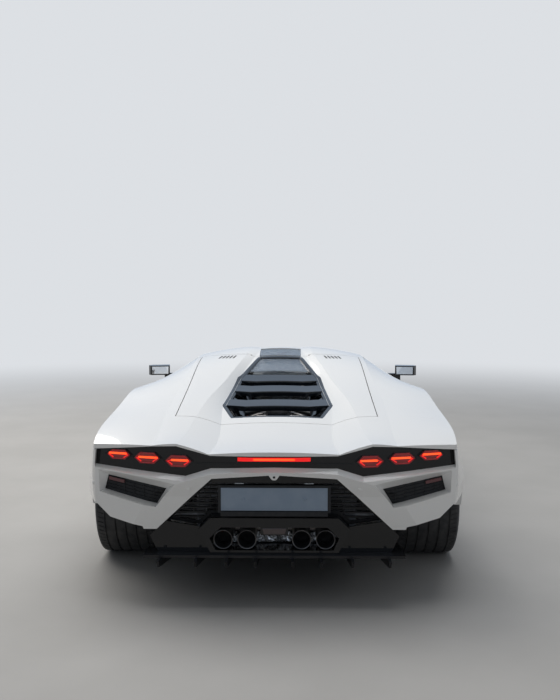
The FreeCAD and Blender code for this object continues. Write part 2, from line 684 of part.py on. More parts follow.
grille = slotted(whole(GRILLE), tail_slab, s.grille_recess, 16)
plate_x = -half_length + s.plate_in
plate_half, plate_low = s.plate_length / 2, s.plate_centre - s.plate_height / 2
carrier = box(plate_x + s.plate_thickness + seat, plate_x + 95, 12 - plate_half, plate_half - 12,
              plate_low + 8, plate_low + s.plate_height - 8)
bolts = [Part.makeCylinder(s.plate_bolt_radius, 200, V(plate_x, y, s.plate_centre), V(1, 0, 0))
         for y in (s.plate_bolt_spacing / 2, -s.plate_bolt_spacing / 2)]
grille = biggest(grille.fuse(carrier.cut(Part.makeCompound(bolts))))
corner_grille = biggest(tail_slab(grown(CORNER_VENT, -seat), s.corner_vent_depth + 8, 12))
keep("rear_grille", Part.makeCompound([grille] + both(corner_grille)))

surround_x = -half_length + 95
surround = rear_prism(whole(EXHAUST_FRAME), surround_x, surround_x + 110)
surround = surround.cut(rear_prism(whole(EXHAUST_HOLE), -FAR, 0))
wing_x = surround_x + 40
wing = rear_prism(EXHAUST_WING, wing_x, wing_x + 15).cut(rear_prism(grown(whole(BUMPER), seat), -FAR, 0))
keep("exhaust_surround", biggest(surround.fuse(both(biggest(wing)))))

# Diffuser: a floor that climbs to the tail, with upright fins
FINS = (90, 230, 380, 560)
ramp_front, ramp_rear = rear_axle - 120, -half_length + 70
ramp_top = EXHAUST_FRAME[-1][1] - seat
ramp = ((ramp_front, 125), (ramp_front, 137), (surround_x + 110, ramp_top), (ramp_rear, ramp_top),
        (ramp_rear, ramp_top - 12), (surround_x + 110, ramp_top - 12))
diffuser = side_prism(ramp, -s.diffuser_half_width, s.diffuser_half_width)
for y in FINS:
    fin = ((ramp_front - 250, 150), (ramp_rear, 262), (-half_length, 262), (-half_length + 25, 228),
           (ramp_front - 500, 140), (ramp_front - 300, 125))
    blade = side_prism(fin, y - 6, y + 6)
    diffuser = diffuser.fuse(both(blade))
keep("diffuser", biggest(diffuser))

# Tub: floor, beams beside the seats, bulkheads and the frames that carry the ends
beam_top = 330
bulkhead_rear, bulkhead_front = middle - 750, front_axle - 290
floor_top = s.ground_clearance + s.skin
floor_range = (middle - 720, front_axle - 420)
floor = form.common(box(*floor_range, -s.floor_half_width, s.floor_half_width, 0, floor_top))
nose_floor = form.common(box(floor_range[1], bulkhead_front + 30, -585, 585, 0, floor_top))
beam = box(*floor_range, s.floor_half_width - 90, s.floor_half_width, floor_top - 5, beam_top)
tunnel = side_prism(((floor_range[0], floor_top - 5), (floor_range[0], 420), (middle + 250, 400),
                     (bulkhead_front - 200, 330), (bulkhead_front, floor_top - 5)), -110, 110)
pads = []
for x in (middle + 780, middle - 560):
    pad = box(x, x + s.jack_pad_size, s.floor_half_width - 20 - s.jack_pad_size, s.floor_half_width - 20,
              s.ground_clearance - s.jack_pad_depth, s.ground_clearance + 10)
    pads += both(pad)
keep("floor", biggest(floor.fuse([nose_floor, tunnel] + both(beam) + pads)))

above_floor = floor_top + seat
kick = s.front_well_inner - seat
kick_wall = box(front_axle - 390, bulkhead_front + 30, kick - 24, kick, above_floor, HIGH)
side_wall = box(front_axle - 420, front_axle - 390, kick - 24, s.floor_half_width, above_floor, HIGH)
toe_wall = box(bulkhead_front, bulkhead_front + 30, -kick + 24, kick - 24, above_floor, HIGH)
front_bulkhead = toe_wall.fuse(both(kick_wall) + both(side_wall)).common(seat_form)
tunnel_way = box(bulkhead_front - 200, bulkhead_front, -110 - seat, 110 + seat, 0, 340)
front_bulkhead = front_bulkhead.cut(tunnel_way)
keep("front_bulkhead", biggest(front_bulkhead))

lowered = seat_form.translated(V(0, 0, seat - gap))
cover_edge = s.cover_half_width + gap
under_cover = box(bulkhead_rear - 30, bulkhead_rear, -cover_edge, cover_edge, above_floor, HIGH).common(lowered)
beside_cover = box(bulkhead_rear - 30, bulkhead_rear, cover_edge, WIDE, above_floor, HIGH).common(seat_form)
beside_cover = beside_cover.cut(box(-FAR, FAR, s.floor_half_width, WIDE, 0, sill_top + gap))
rear_bulkhead = under_cover.fuse(both(beside_cover))
rear_view = ((330, 820), (300, 930), (-300, 930), (-330, 820))
rear_bulkhead = rear_bulkhead.cut(rear_prism(rear_view, bulkhead_rear - 30, bulkhead_rear))
keep("rear_bulkhead", biggest(rear_bulkhead))
keep("rear_window", rear_prism(grown(rear_view, -seat), bulkhead_rear - 18, bulkhead_rear - 12))

bin_rear, bin_front, bin_wall = bulkhead_front + 30 + seat, front_axle + 640, 12
bin_half = s.front_chassis_y
bin_body = box(bin_rear, bin_front, -bin_half, bin_half, 300, HIGH).common(lowered)
bin_hollow = box(bin_rear + bin_wall, bin_front - bin_wall, bin_wall - bin_half, bin_half - bin_wall,
                 300 + bin_wall, HIGH)
bin_low = box(bin_rear, bin_front, 330, bin_half, above_floor, 302)
lid_ears = []
for y in (300, -300):
    ear = box(LID_HINGE.x - 14, LID_HINGE.x + 14, y - 7.5, y + 7.5, 640, LID_HINGE.z + 14)
    lid_ears.append(ear.cut(pin(LID_HINGE, V(0, 1, 0), 6 + seat, y - 20, y + 20)))
    lid_ears.append(box(bin_rear, LID_HINGE.x + 14, y - 7.5, y + 7.5, 640, 665))
front_trunk = bin_body.cut(bin_hollow).fuse(both(bin_low) + lid_ears)
keep("front_trunk", biggest(front_trunk))

# Rails from the trunk's front wall to the bumper, the right one threaded for a tow eye
crash_rail = box(bin_front + seat, FAR, s.tow_y - 35, s.tow_y + 35, 320, 412).common(seat_form)
tow_face = half_length - s.tow_in
spot_face = Part.makeCylinder(s.tow_way_radius, FAR, tow_line + V(tow_face, 0, 0), V(1, 0, 0))
thread_start = tow_line + V(tow_face - s.tow_thread_length, 0, 0)
thread = Part.makeCylinder(s.tow_thread_radius, s.tow_thread_length, thread_start, V(1, 0, 0))
keep("crash_rails", Part.makeCompound([crash_rail, mirrored(crash_rail).cut(spot_face).cut(thread)]))

rail = box(rear_axle - 400, bulkhead_rear - 30 - seat, 370, s.rear_chassis_y, 200, 300)
cross = box(rear_axle - 430, rear_axle - 390, -s.rear_chassis_y, s.rear_chassis_y, 200, 560)
tower = box(rear_axle - 430, rear_axle - 390, -540, 540, 500, HIGH).common(seat_form)
tail_rail = box(-FAR, rear_axle - 400, 480, 540, 500, 560).common(seat_form)
rear_frame = cross.fuse([tower] + both(rail) + both(tail_rail))
keep("rear_frame", biggest(rear_frame))

# Wheel wells' liners
def liner(axle, radius, inner_y):
    """A sheet round a well's inside, up to the body's skin."""
    centre, across, well_radius = V(axle, inner_y, radius), V(0, 1, 0), radius + s.arch_clearance
    ring = Part.makeCylinder(well_radius + 5, WIDE, centre, across)
    ring = ring.cut(Part.makeCylinder(well_radius, WIDE, centre, across))
    return biggest(ring.common(seat_form).cut(box(-FAR, FAR, 0, WIDE, 0, s.tail_underside)))


front_liner = liner(front_axle, s.front_tyre_radius, s.front_well_inner)
rear_liner = liner(rear_axle, s.rear_tyre_radius, s.rear_well_inner)
keep("wheel_liners", Part.makeCompound(both(front_liner) + both(rear_liner)))

# Splitter under the nose
splitter = form.common(box(bumper_split, FAR, -WIDE, WIDE, 0, s.ground_clearance + s.splitter_thickness))
keep("front_splitter", biggest(splitter))

# Mirrors, on stalks that stand on the doors
mirror_x = front_axle - 570
mirror_plan = ((mirror_x - 50, 950), (mirror_x - 70, 1105), (mirror_x - 30, 1132), (mirror_x + 20, 1110),
               (mirror_x + 50, 965))
mirror = plan_prism(mirror_plan, 848, 928, 12)
stalk = box(mirror_x - 20, mirror_x + 20, 880, 1000, 760, 860)
mirror = biggest(mirror.fuse(stalk).cut(body_loft(-s.seat_gap)))
keep_pair("mirror", mirror)


# Document objects whose sizes are bound to the sheet

FRONT_X = "(sizes.body_length / 2 - sizes.front_overhang)"
REAR_X = f"({FRONT_X} - sizes.wheelbase)"


def bound(kind, name, **values):
    """An object of the document whose values follow the sheet."""
    feature = doc.addObject(kind, name)
    for value, expression in values.items():
        feature.setExpression(value, str(expression))
    return feature


def placed(feature, x=0, y=0, z=0, turn=None):
    if turn:
        feature.Placement = Placement(V(0, 0, 0), turn)
    for axis, expression in zip("xyz", (x, y, z)):
        feature.setExpression(f".Placement.Base.{axis}", str(expression))
    return feature


def cylinder(name, radius, height, x=0, y=0, z=0, turn=None):
    return placed(bound("Part::Cylinder", name, Radius=radius, Height=height), x, y, z, turn)


def block(name, length, width, height, x=0, y=0, z=0, turn=None):
    return placed(bound("Part::Box", name, Length=length, Width=width, Height=height), x, y, z, turn)


def joined(name, pieces):
    feature = doc.addObject("Part::MultiFuse", name)
    feature.Shapes = pieces
    return feature


def less(name, base, tools):
    feature = doc.addObject("Part::Cut", name)
    feature.Base = base
    feature.Tool = tools[0] if len(tools) == 1 else joined(f"{name}_tools", tools)
    return feature


def deliver(feature, name):
    """Takes a finished object as a sub-part."""
    feature.Label = name
    NODES.append(feature)
    return feature


# Wheels, built with the axle along their own Z and the outboard side up
# Columns: end, side, x, then the face's, disc's and hub's heights from the wheel's centre
WHEELS = (
    ("front", "left", FRONT_X, 76, 35, -5),
    ("front", "right", FRONT_X, 76, 35, -5),
    ("rear", "left", REAR_X, 120, 75, 35),
    ("rear", "right", REAR_X, 120, 75, 35),
)
SIDE = {"left": 1, "right": -1}


def tyre_outline(width, radius, rim):
    """Half section of a tyre as (radius, height along the axle)."""
    half = width / 2
    bead = half - 12
    outboard = [(radius, half - 22), (radius - 25, half), (rim + 45, half), (rim + 14, bead + 6),
                (rim + seat, bead)]
    return [(r, -z) for r, z in reversed(outboard)] + outboard


for end, side_name, axle_x, face, disc, hub in WHEELS:
    place, side = f"{end}_{side_name}", SIDE[side_name]
    radius, rim, width = f"{end}_tyre_radius", f"{end}_rim_radius", f"{end}_tyre_width"
    turn = Rotation(V(1, 0, 0), -90 * side)
    centre = (axle_x, f"{side} * sizes.{end}_track / 2", f"sizes.{radius}")
    label = f"rim_{place}"
    barrel = cylinder(f"{label}_barrel", f"sizes.{rim}", f"sizes.{width} - 24", z=f"12 - sizes.{width} / 2")
    bore = cylinder(f"{label}_bore", f"sizes.{rim} - sizes.rim_wall", f"sizes.{width}", z=f"-sizes.{width} / 2")
    ring = less(f"{label}_ring", barrel, [bore])
    plate = cylinder(f"{label}_face", f"sizes.{rim} - 5", "sizes.dial_thickness", z=face)
    dish = bound("Part::Cone", f"{label}_dish", Radius1=f"sizes.{rim} * 0.30", Radius2=f"sizes.{rim} * 0.94",
                 Height="sizes.dish_depth + 1")
    placed(dish, z=f"{face} + sizes.dial_thickness - sizes.dish_depth")
    holes = []
    for n in range(5):
        turned = Rotation(V(0, 0, 1), 72 * n)
        hole = bound("Part::Cylinder", f"{label}_hole_{n}", Radius=f"sizes.{rim} * 0.23", Height=60)
        reach = 0.60 * getattr(s, rim)
        hole.Placement = Placement(turned.multVec(V(reach, 0, 0)) + V(0, 0, face - 20), Rotation())
        holes.append(hole)
    dial = less(f"{label}_dial", plate, holes + [dish])
    middle_hub = cylinder(f"{label}_hub", "sizes.hub_radius", f"{face} - {hub} + 5", z=hub)
    disc_plate = cylinder(f"{label}_disc", "sizes.disc_radius", "sizes.disc_thickness", z=disc)
    spindle_way = cylinder(f"{label}_way", "sizes.spindle_radius + sizes.spindle_clearance",
                           f"{face} - {hub} - 15", z=hub)
    wheel = less(label, joined(f"{label}_solid", [ring, dial, middle_hub, disc_plate]), [spindle_way])
    deliver(placed(wheel, *centre, turn), label)
    outline = tyre_outline(getattr(s, width), getattr(s, radius), getattr(s, rim))
    points = [V(r, 0, z) for r, z in outline]
    tyre_section = Part.Face(Part.makePolygon(points + points[:1]))
    tyre = keep(f"tyre_{place}", tyre_section.revolve(V(0, 0, 0), V(0, 0, 1), 360))
    placed(tyre, *centre, turn)


# Knuckles: an upright, a spindle and a caliper that straddles the disc
def knuckle(centre, upright_in, disc, hub, hub_end, low, high):
    """A left knuckle: the upright stands inboard of the wheel's centre plane by upright_in."""
    def across(radius, length, offset):
        return Part.makeCylinder(radius, length, centre + V(0, offset, 0), V(0, 1, 0))

    post = Part.makeCylinder(22, high - low, V(centre.x, centre.y - upright_in, low))
    spindle = across(s.spindle_radius, hub_end + upright_in - 15, -upright_in)
    collar = across(48, max(hub - 10 + upright_in, 8), -upright_in)
    disc_space = s.disc_thickness + 2 * gap
    pad = across(s.disc_radius + 32, disc_space + 30, disc - gap - 22).cut(across(128, 400, -200))
    wedge = box(centre.x - 260, centre.x, 0, WIDE, centre.z - 75, centre.z + 75)
    caliper = pad.common(wedge).cut(across(s.disc_radius + gap, disc_space, disc - gap))
    arm_y = centre.y - upright_in
    arm = box(centre.x - 185, centre.x, arm_y - 12, arm_y + 12, centre.z - 30, centre.z + 30)
    bridge_end = centre.y + disc - gap - 5
    bridge = box(centre.x - 185, centre.x - 135, arm_y - 12, bridge_end, centre.z - 30, centre.z + 30)
    return biggest(post.fuse([spindle, collar, caliper, arm, bridge]))


front_centre = V(front_axle, s.front_track / 2, s.front_tyre_radius)
rear_centre = V(rear_axle, s.rear_track / 2, s.rear_tyre_radius)
arm_gap = s.arm_thickness + seat
front_knuckle = knuckle(front_centre, s.kingpin_in, 35, -5, 61, s.arm_low + arm_gap, s.arm_high - seat)
keep_pair("knuckle", front_knuckle)
rear_knuckle = knuckle(rear_centre, 20, 75, 35, 105, s.arm_low + arm_gap + 20, s.arm_high + 30 - seat)
keep("rear_knuckles", Part.makeCompound(both(rear_knuckle)))


def wishbone(centre, outer_y, inner_y, low):
    """A flat arm from two points on the chassis to the upright."""
    x = centre.x
    outline = ((x - 26, outer_y), (x - 160, inner_y), (x - 110, inner_y), (x, outer_y - 60), (x + 110, inner_y),
               (x + 160, inner_y), (x + 26, outer_y))
    arm = plan_prism(outline, low, low + s.arm_thickness)
    return arm.fuse(Part.makeCylinder(30, s.arm_thickness, V(x, outer_y, low)))


front_arms = [wishbone(front_centre, front_centre.y - s.kingpin_in, s.front_chassis_y + seat, z)
              for z in (s.arm_low, s.arm_high)]
rear_arms = [wishbone(rear_centre, rear_centre.y - 20, s.rear_chassis_y + seat, z)
             for z in (s.arm_low + 20, s.arm_high + 30)]
keep("front_suspension", Part.makeCompound(front_arms + [mirrored(a) for a in front_arms]))
keep("rear_suspension", Part.makeCompound(rear_arms + [mirrored(a) for a in rear_arms]))

# Cabin
column_axis = V(-math.cos(math.radians(22)), 0, math.sin(math.radians(22)))
wheel_centre = V(middle + 480, s.driver_y, 700)
dash_view = ((bulkhead_front - seat, 560), (bulkhead_front - seat, 735), (front_axle - 480, 745),
             (front_axle - 640, 705), (front_axle - 670, 610), (front_axle - 610, 545))
dash = side_prism(dash_view, -740, 740).common(seat_form)
dash = dash.cut(box(front_axle - 420 - seat, FAR, kick - 24 - seat, WIDE, 0, HIGH))
dash = dash.cut(box(front_axle - 420 - seat, FAR, -WIDE, -kick + 24 + seat, 0, HIGH))
column = Part.makeCylinder(26, 330, wheel_centre - column_axis * 395, column_axis)
dash = dash.cut(Part.makeCylinder(26 + seat, 395, wheel_centre - column_axis * 395.3, column_axis))
keep("dashboard", biggest(dash))
column = column.cut(Part.makeCylinder(9 + seat, 60, wheel_centre - column_axis * 115, column_axis))
keep("steering_column", column)
wheel_ring = Part.makeTorus(s.steering_wheel_radius, 15, wheel_centre, column_axis)
steering_hub = Part.makeCylinder(48, 50, wheel_centre - column_axis * 58, column_axis)
steering_pin = Part.makeCylinder(9, 60, wheel_centre - column_axis * 110, column_axis)
spokes = []
for angle in (0, 90, 180):
    spoke = Part.makeBox(s.steering_wheel_radius, 34, 12, V(0, -17, -16))
    spoke.rotate(V(0, 0, 0), V(0, 0, 1), angle)
    spoke.Placement = Placement(wheel_centre, Rotation(V(0, 0, 1), column_axis)).multiply(spoke.Placement)
    spokes.append(spoke)
keep("steering_wheel", biggest(wheel_ring.fuse([steering_hub, steering_pin] + spokes)))

seat_view = ((middle + 420, floor_top + seat), (middle + 430, 330), (middle + 30, 270), (middle - 110, 330),
             (middle - 330, 960), (middle - 430, 960), (middle - 330, floor_top + seat))
cushion = side_prism(seat_view, 130, 620, 30)
keep("seats", Part.makeCompound(both(cushion)))

# Engine and gearbox, one block on the rear frame's rails
engine = doc.addObject("PartDesign::Body", "engine_body")
plan = engine.newObject("Sketcher::SketchObject", "engine_plan")
xy_plane = [f for f in engine.Origin.OriginFeatures if f.Role == "XY_Plane"][0]
plan.AttachmentSupport = [(xy_plane, "")]
plan.MapMode = "FlatFace"
corners = [V(-400, -350, 0), V(400, -350, 0), V(400, 350, 0), V(-400, 350, 0)]
for a, b in zip(corners, corners[1:] + corners[:1]):
    plan.addGeometry(Part.LineSegment(a, b), False)
for n in range(4):
    plan.addConstraint(Sketcher.Constraint("Coincident", n, 2, (n + 1) % 4, 1))
for n in (0, 2):
    plan.addConstraint(Sketcher.Constraint("Horizontal", n))
for n in (1, 3):
    plan.addConstraint(Sketcher.Constraint("Vertical", n))
plan.addConstraint(Sketcher.Constraint("Symmetric", 0, 1, 1, 2, -1, 1))
long_side = plan.addConstraint(Sketcher.Constraint("Distance", 0, 800))
short_side = plan.addConstraint(Sketcher.Constraint("Distance", 1, 700))
plan.setExpression(f"Constraints[{long_side}]", "sizes.engine_length")
plan.setExpression(f"Constraints[{short_side}]", "sizes.engine_width")
engine_pad = engine.newObject("PartDesign::Pad", "engine_pad")
engine_pad.Profile = plan
engine_pad.setExpression("Length", "sizes.engine_height")
engine.Tip = engine_pad
deliver(placed(engine, f"{REAR_X} + 170", 0, 300 + seat), "engine")

# Exhaust: a silencer across the tail and four tips
tips = []
tip_x = surround_x - 5
tip_front = tip_x + 180
forwards = Rotation(V(0, 1, 0), 90)
for number, y in enumerate((134, 251, -134, -251), start=1):
    tube = cylinder(f"tip_{number}_outside", "sizes.exhaust_radius", 180, tip_x, y, "sizes.exhaust_height",
                    forwards)
    core = cylinder(f"tip_{number}_inside", "sizes.exhaust_radius - sizes.exhaust_wall", 176, tip_x, y,
                    "sizes.exhaust_height", forwards)
    tips.append(less(f"tip_{number}", tube, [core]))
silencer_x = tip_front - 4
silencer = block("silencer", rear_axle - 430 - seat - silencer_x, 720, 120, silencer_x, -360, 292)
deliver(joined("exhaust_pipes", tips + [silencer]), "exhaust")

# Number plate, bare
plate = block("plate_blank", "sizes.plate_thickness", "sizes.plate_length", "sizes.plate_height",
              "sizes.plate_in - sizes.body_length / 2", "-sizes.plate_length / 2",
              "sizes.plate_centre - sizes.plate_height / 2")
bolt_holes = []
behind_plate = "sizes.plate_in - sizes.body_length / 2 - 10"
for place, side in SIDE.items():
    bolt_holes.append(cylinder(f"plate_bolt_{place}", "sizes.plate_bolt_radius", 40, behind_plate,
                               f"{side} * sizes.plate_bolt_spacing / 2", "sizes.plate_centre", forwards))
deliver(less("plate_drilled", plate, bolt_holes), "plate")

doc.recompute()
failed = [f.Label for f in doc.Objects if {"Invalid", "Error"} & set(f.State)]
failed += [f.Label for f in NODES if f.Shape.isNull() or not f.Shape.isValid()]
if failed:
    raise RuntimeError(f"failed objects: {failed}")
os.makedirs("parts", exist_ok=True)
for feature in NODES:
    feature.Shape.exportStep(f"parts/{feature.Label}.step")
print(len(NODES), "sub-parts")
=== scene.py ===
"""Looks of the supercar: finishes, tyre tread, lamps, trim, the louvred recess, the cabin and the studio.

Metres. +X is forwards, +Y is the car's left and +Z is up. The ground is at z = 0.
"""
import json
import math
import random

import bpy
import bmesh
from mathutils import Matrix, Vector
from mathutils.bvhtree import BVHTree


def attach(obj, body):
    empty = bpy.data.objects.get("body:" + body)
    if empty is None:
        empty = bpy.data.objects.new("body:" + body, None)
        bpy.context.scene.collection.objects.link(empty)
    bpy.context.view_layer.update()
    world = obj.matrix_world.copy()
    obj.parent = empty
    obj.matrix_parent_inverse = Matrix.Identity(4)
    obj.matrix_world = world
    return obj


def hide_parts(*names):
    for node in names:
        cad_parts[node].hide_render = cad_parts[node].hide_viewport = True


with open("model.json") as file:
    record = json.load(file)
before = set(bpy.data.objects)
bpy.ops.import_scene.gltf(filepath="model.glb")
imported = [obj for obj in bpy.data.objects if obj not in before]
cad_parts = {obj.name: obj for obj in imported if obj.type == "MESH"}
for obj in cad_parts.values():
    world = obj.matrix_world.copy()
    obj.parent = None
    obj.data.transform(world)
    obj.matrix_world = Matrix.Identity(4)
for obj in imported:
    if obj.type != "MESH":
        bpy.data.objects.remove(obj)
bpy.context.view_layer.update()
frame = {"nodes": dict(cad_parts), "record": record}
NODES = frame["nodes"]
random.seed(7)


# Materials

def shader_of(material):
    return material.node_tree.nodes["Principled BSDF"]


def add(owner, kind, **values):
    """A node in the tree of a material or the world, with its settings and inputs filled in."""
    node = owner.node_tree.nodes.new(kind)
    for key, value in values.items():
        socket = key.replace("_", " ")
        if socket in node.inputs:
            node.inputs[socket].default_value = value
        else:
            setattr(node, key, value)
    return node


def join(owner, source, output, target, socket):
    owner.node_tree.links.new(source.outputs[output], target.inputs[socket])


def place_on(material, scale=(1, 1, 1)):
    """Object coordinates, so a pattern keeps its real size."""
    mapping = add(material, "ShaderNodeMapping", Scale=scale)
    join(material, add(material, "ShaderNodeTexCoord"), "Object", mapping, "Vector")
    return mapping


def tint(material, source, output, low, high, ends=(0, 1)):
    """The base colour goes from one tone to another as a pattern's value rises."""
    ramp = add(material, "ShaderNodeValToRGB")
    for element, end, colour in zip(ramp.color_ramp.elements, ends, (low, high)):
        element.position = end
        element.color = (*colour, 1)
    join(material, source, output, ramp, "Fac")
    join(material, ramp, "Color", shader_of(material), "Base Color")


def emboss(material, source, output, strength, distance):
    """Fine relief that follows a pattern's value."""
    bump = add(material, "ShaderNodeBump", Strength=strength, Distance=distance)
    join(material, source, output, bump, "Height")
    join(material, bump, "Normal", shader_of(material), "Normal")


def mottle(material, low, high, scale, detail=3, stretch=(1, 1, 1)):
    """Colour that drifts between two tones."""
    noise = add(material, "ShaderNodeTexNoise", Scale=scale, Detail=detail)
    join(material, place_on(material, stretch), "Vector", noise, "Vector")
    tint(material, noise, "Fac", low, high, (0.35, 0.65))


def roughen(material, low, high, scale, stretch=(1, 1, 1)):
    """Roughness that varies with smears and handling."""
    noise = add(material, "ShaderNodeTexNoise", Scale=scale, Detail=4)
    join(material, place_on(material, stretch), "Vector", noise, "Vector")
    spread = add(material, "ShaderNodeMapRange", To_Min=low, To_Max=high)
    join(material, noise, "Fac", spread, "Value")
    join(material, spread, "Result", shader_of(material), "Roughness")


def grain(material, scale, strength, distance, kind="ShaderNodeTexNoise", output="Fac", stretch=(1, 1, 1)):
    """A fine raised texture."""
    texture = add(material, kind, Scale=scale)
    join(material, place_on(material, stretch), "Vector", texture, "Vector")
    emboss(material, texture, output, strength, distance)


def finish(name, colour, roughness, metallic=0, tones=None, smears=None, relief=None, stretch=(1, 1, 1),
           **sockets):
    """A material: plain values on the shader's sockets, then patterns for colour, roughness and height."""
    material = bpy.data.materials.new(name)
    material.use_nodes = True
    values = {"Base Color": (*colour, 1), "Roughness": roughness, "Metallic": metallic}
    values.update({socket.replace("_", " "): value for socket, value in sockets.items()})
    for socket, value in values.items():
        shader_of(material).inputs[socket].default_value = value
    if tones:
        mottle(material, *tones, stretch=stretch)
    if smears:
        roughen(material, *smears, stretch=stretch)
    if relief:
        grain(material, *relief, stretch=stretch)
    return material


def carbon_weave():
    """A twill: the difference of two sets of tows that cross each other."""
    material = finish("carbon_weave", (0.012, 0.012, 0.013), 0.35, Coat_Weight=0.2, Coat_Roughness=0.12,
                      Specular_IOR_Level=0.25)
    mapping = place_on(material)
    difference = add(material, "ShaderNodeMath", operation="SUBTRACT")
    for k, direction in enumerate("XY"):
        tows = add(material, "ShaderNodeTexWave", Scale=62, Distortion=0, bands_direction=direction)
        join(material, mapping, "Vector", tows, "Vector")
        join(material, tows, "Fac", difference, k)
    weave = add(material, "ShaderNodeMath", operation="ABSOLUTE")
    join(material, difference, "Value", weave, 0)
    tint(material, weave, "Value", (0.004, 0.004, 0.0045), (0.02, 0.02, 0.022))
    emboss(material, weave, "Value", 0.25, 0.0004)
    return material


def dimmed(colour, share):
    return tuple(share * v for v in colour)


def metal(name, colour, roughness, brushed=(1, 1, 1), dark=0.8):
    return finish(name, colour, roughness, 1, (dimmed(colour, dark), colour, 30, 4),
                  (0.8 * roughness, min(1.3 * roughness, 1), 50), (500, 0.08, 0.0002), brushed)


def suede(name, colour):
    return finish(name, colour, 0.92, 0, (dimmed(colour, 0.7), colour, 60, 5), None, (1600, 0.4, 0.0005),
                  Sheen_Weight=0.5, Sheen_Roughness=0.5)


def lamp_glow(name, colour, strength):
    return finish(name, colour, 0.3, 0, (colour, dimmed(colour, 0.7), 120), Emission_Color=(*colour, 1),
                  Emission_Strength=strength)


def lens(name, colour, alpha=1):
    return finish(name, colour, 0.06, 0, (colour, dimmed(colour, 0.8), 90), Alpha=alpha, Coat_Weight=1,
                  Coat_Roughness=0.02)


GLASS = (0.1, 0.115, 0.12)
HIDE = (0.028, 0.027, 0.028)
FOIL = (0.3, 0.29, 0.28)
FINISHES = {
    # The record's own slots
    "paint": finish("pearl_white", (0.76, 0.76, 0.75), 0.32, 0,
                    ((0.745, 0.745, 0.735), (0.775, 0.772, 0.76), 900, 1), (0.28, 0.38, 9),
                    (420, 0.02, 0.0002), Coat_Weight=0.8, Coat_Roughness=0.04, IOR=1.5, Coat_IOR=1.5,
                    Specular_IOR_Level=0.35),
    "black_gloss": finish("gloss_black", (0.006, 0.006, 0.007), 0.08, 0,
                          ((0.005, 0.005, 0.006), (0.008, 0.008, 0.009), 60), (0.05, 0.13, 14),
                          Coat_Weight=0.25, Coat_Roughness=0.03, Specular_IOR_Level=0.3),
    "black_plastic": finish("satin_black", (0.013, 0.013, 0.014), 0.5, 0,
                            ((0.01, 0.01, 0.011), (0.017, 0.017, 0.018), 40), None, (900, 0.25, 0.0003),
                            Specular_IOR_Level=0.3),
    "carbon": carbon_weave(),
    "glass": finish("tinted_glass", GLASS, 0.02, 0, (GLASS, dimmed(GLASS, 0.85), 4, 1), IOR=1.5,
                    Transmission_Weight=1, Coat_Weight=1, Coat_Roughness=0.02, Alpha=0.62),
    "lamp_red": lens("lamp_red", (0.3, 0.004, 0.006), 0.9),
    "lamp_clear": lens("lamp_clear", (0.75, 0.78, 0.8), 0.14),
    "tyre": finish("tyre_rubber", (0.035, 0.035, 0.036), 0.72, 0,
                   ((0.026, 0.026, 0.027), (0.052, 0.051, 0.05), 26, 5), (0.6, 0.85, 40),
                   (1400, 0.3, 0.0004)),
    "rim": metal("rim_dark", (0.13, 0.13, 0.14), 0.28),
    "steel": metal("machined_steel", (0.52, 0.52, 0.53), 0.3, (1, 60, 1)),
    "exhaust_steel": metal("heat_tinted_steel", (0.2, 0.185, 0.175), 0.3, dark=0.5),
    "cast": metal("cast_alloy", (0.36, 0.36, 0.37), 0.5),
    "leather": finish("black_leather", HIDE, 0.46, 0, (dimmed(HIDE, 0.75), HIDE, 18, 4), (0.38, 0.56, 25),
                      (420, 0.35, 0.0006, "ShaderNodeTexVoronoi", "Distance"), Sheen_Weight=0.15,
                      Sheen_Roughness=0.4),
    "plate": finish("plate_face", (0.22, 0.28, 0.36), 0.38, 0, ((0.2, 0.26, 0.34), (0.24, 0.3, 0.38), 9, 5),
                    None, (300, 0.08, 0.0003)),
    # Finishes of the trim
    "louvre": finish("louvre_gloss", (0.008, 0.01, 0.014), 0.06, 0,
                     ((0.006, 0.008, 0.011), (0.01, 0.013, 0.018), 40), (0.04, 0.1, 12),
                     Specular_IOR_Level=0.6),
    "cut_face": metal("rim_cut_face", (0.4, 0.4, 0.41), 0.24),
    "rotor": finish("turned_iron", (0.34, 0.335, 0.33), 0.3, 1,
                    ((0.25, 0.245, 0.24), (0.38, 0.375, 0.37), 70, 5), (0.22, 0.42, 120),
                    (260, 0.15, 0.0003)),
    # Soot inside the exhaust liners; the same dark finish is painted shade in the rotor holes, the fuel lid's
    # gap, the cover slots and the lid vents' openings
    "soot_and_painted_shade": metal("soot_and_painted_shade", (0.035, 0.033, 0.032), 0.7, dark=0.5),
    "foil": finish("crumpled_foil", FOIL, 0.3, 1, (FOIL, (0.92, 0.91, 0.89), 26, 5), None, (90, 0.8, 0.004)),
    "reflector": lens("reflector_red", (0.1, 0.006, 0.01)),
    "lamp_dark": lens("lamp_smoked", (0.03, 0.01, 0.012)),
    "lens_clear": lens("projector_glass", (0.55, 0.6, 0.66), 0.8),
    "amber": lens("amber_lens", (0.75, 0.24, 0.02)),
    "mirror": metal("mirror_glass", (0.78, 0.8, 0.82), 0.03, dark=0.97),
    "spring_paint": metal("spring_yellow", (0.62, 0.42, 0.04), 0.35),
    "head_red": metal("crackle_red", (0.3, 0.02, 0.018), 0.55),
    "suede": suede("charcoal_suede", (0.045, 0.044, 0.047)),
    "suede_light": suede("grey_suede", (0.16, 0.155, 0.155)),
    "stitch": suede("pale_thread", (0.55, 0.55, 0.54)),
    "belt": suede("belt_webbing", (0.035, 0.034, 0.036)),
    "carpet": suede("carpet_black", (0.02, 0.02, 0.021)),
    "screen": lens("screen_glass", (0.012, 0.014, 0.018)),
    "red_plastic": lens("red_cover", (0.35, 0.01, 0.01)),
    "glow_red": lamp_glow("lamp_red_lit", (0.95, 0.012, 0.012), 0.62),
    "glow_orange": lamp_glow("lamp_bar_lit", (1.0, 0.075, 0.012), 1.5),
    "glow_dim": lamp_glow("lamp_red_dim", (0.3, 0.002, 0.006), 0.35),
    "glow_white": lamp_glow("lamp_white", (0.9, 0.94, 1.0), 0.35),
}
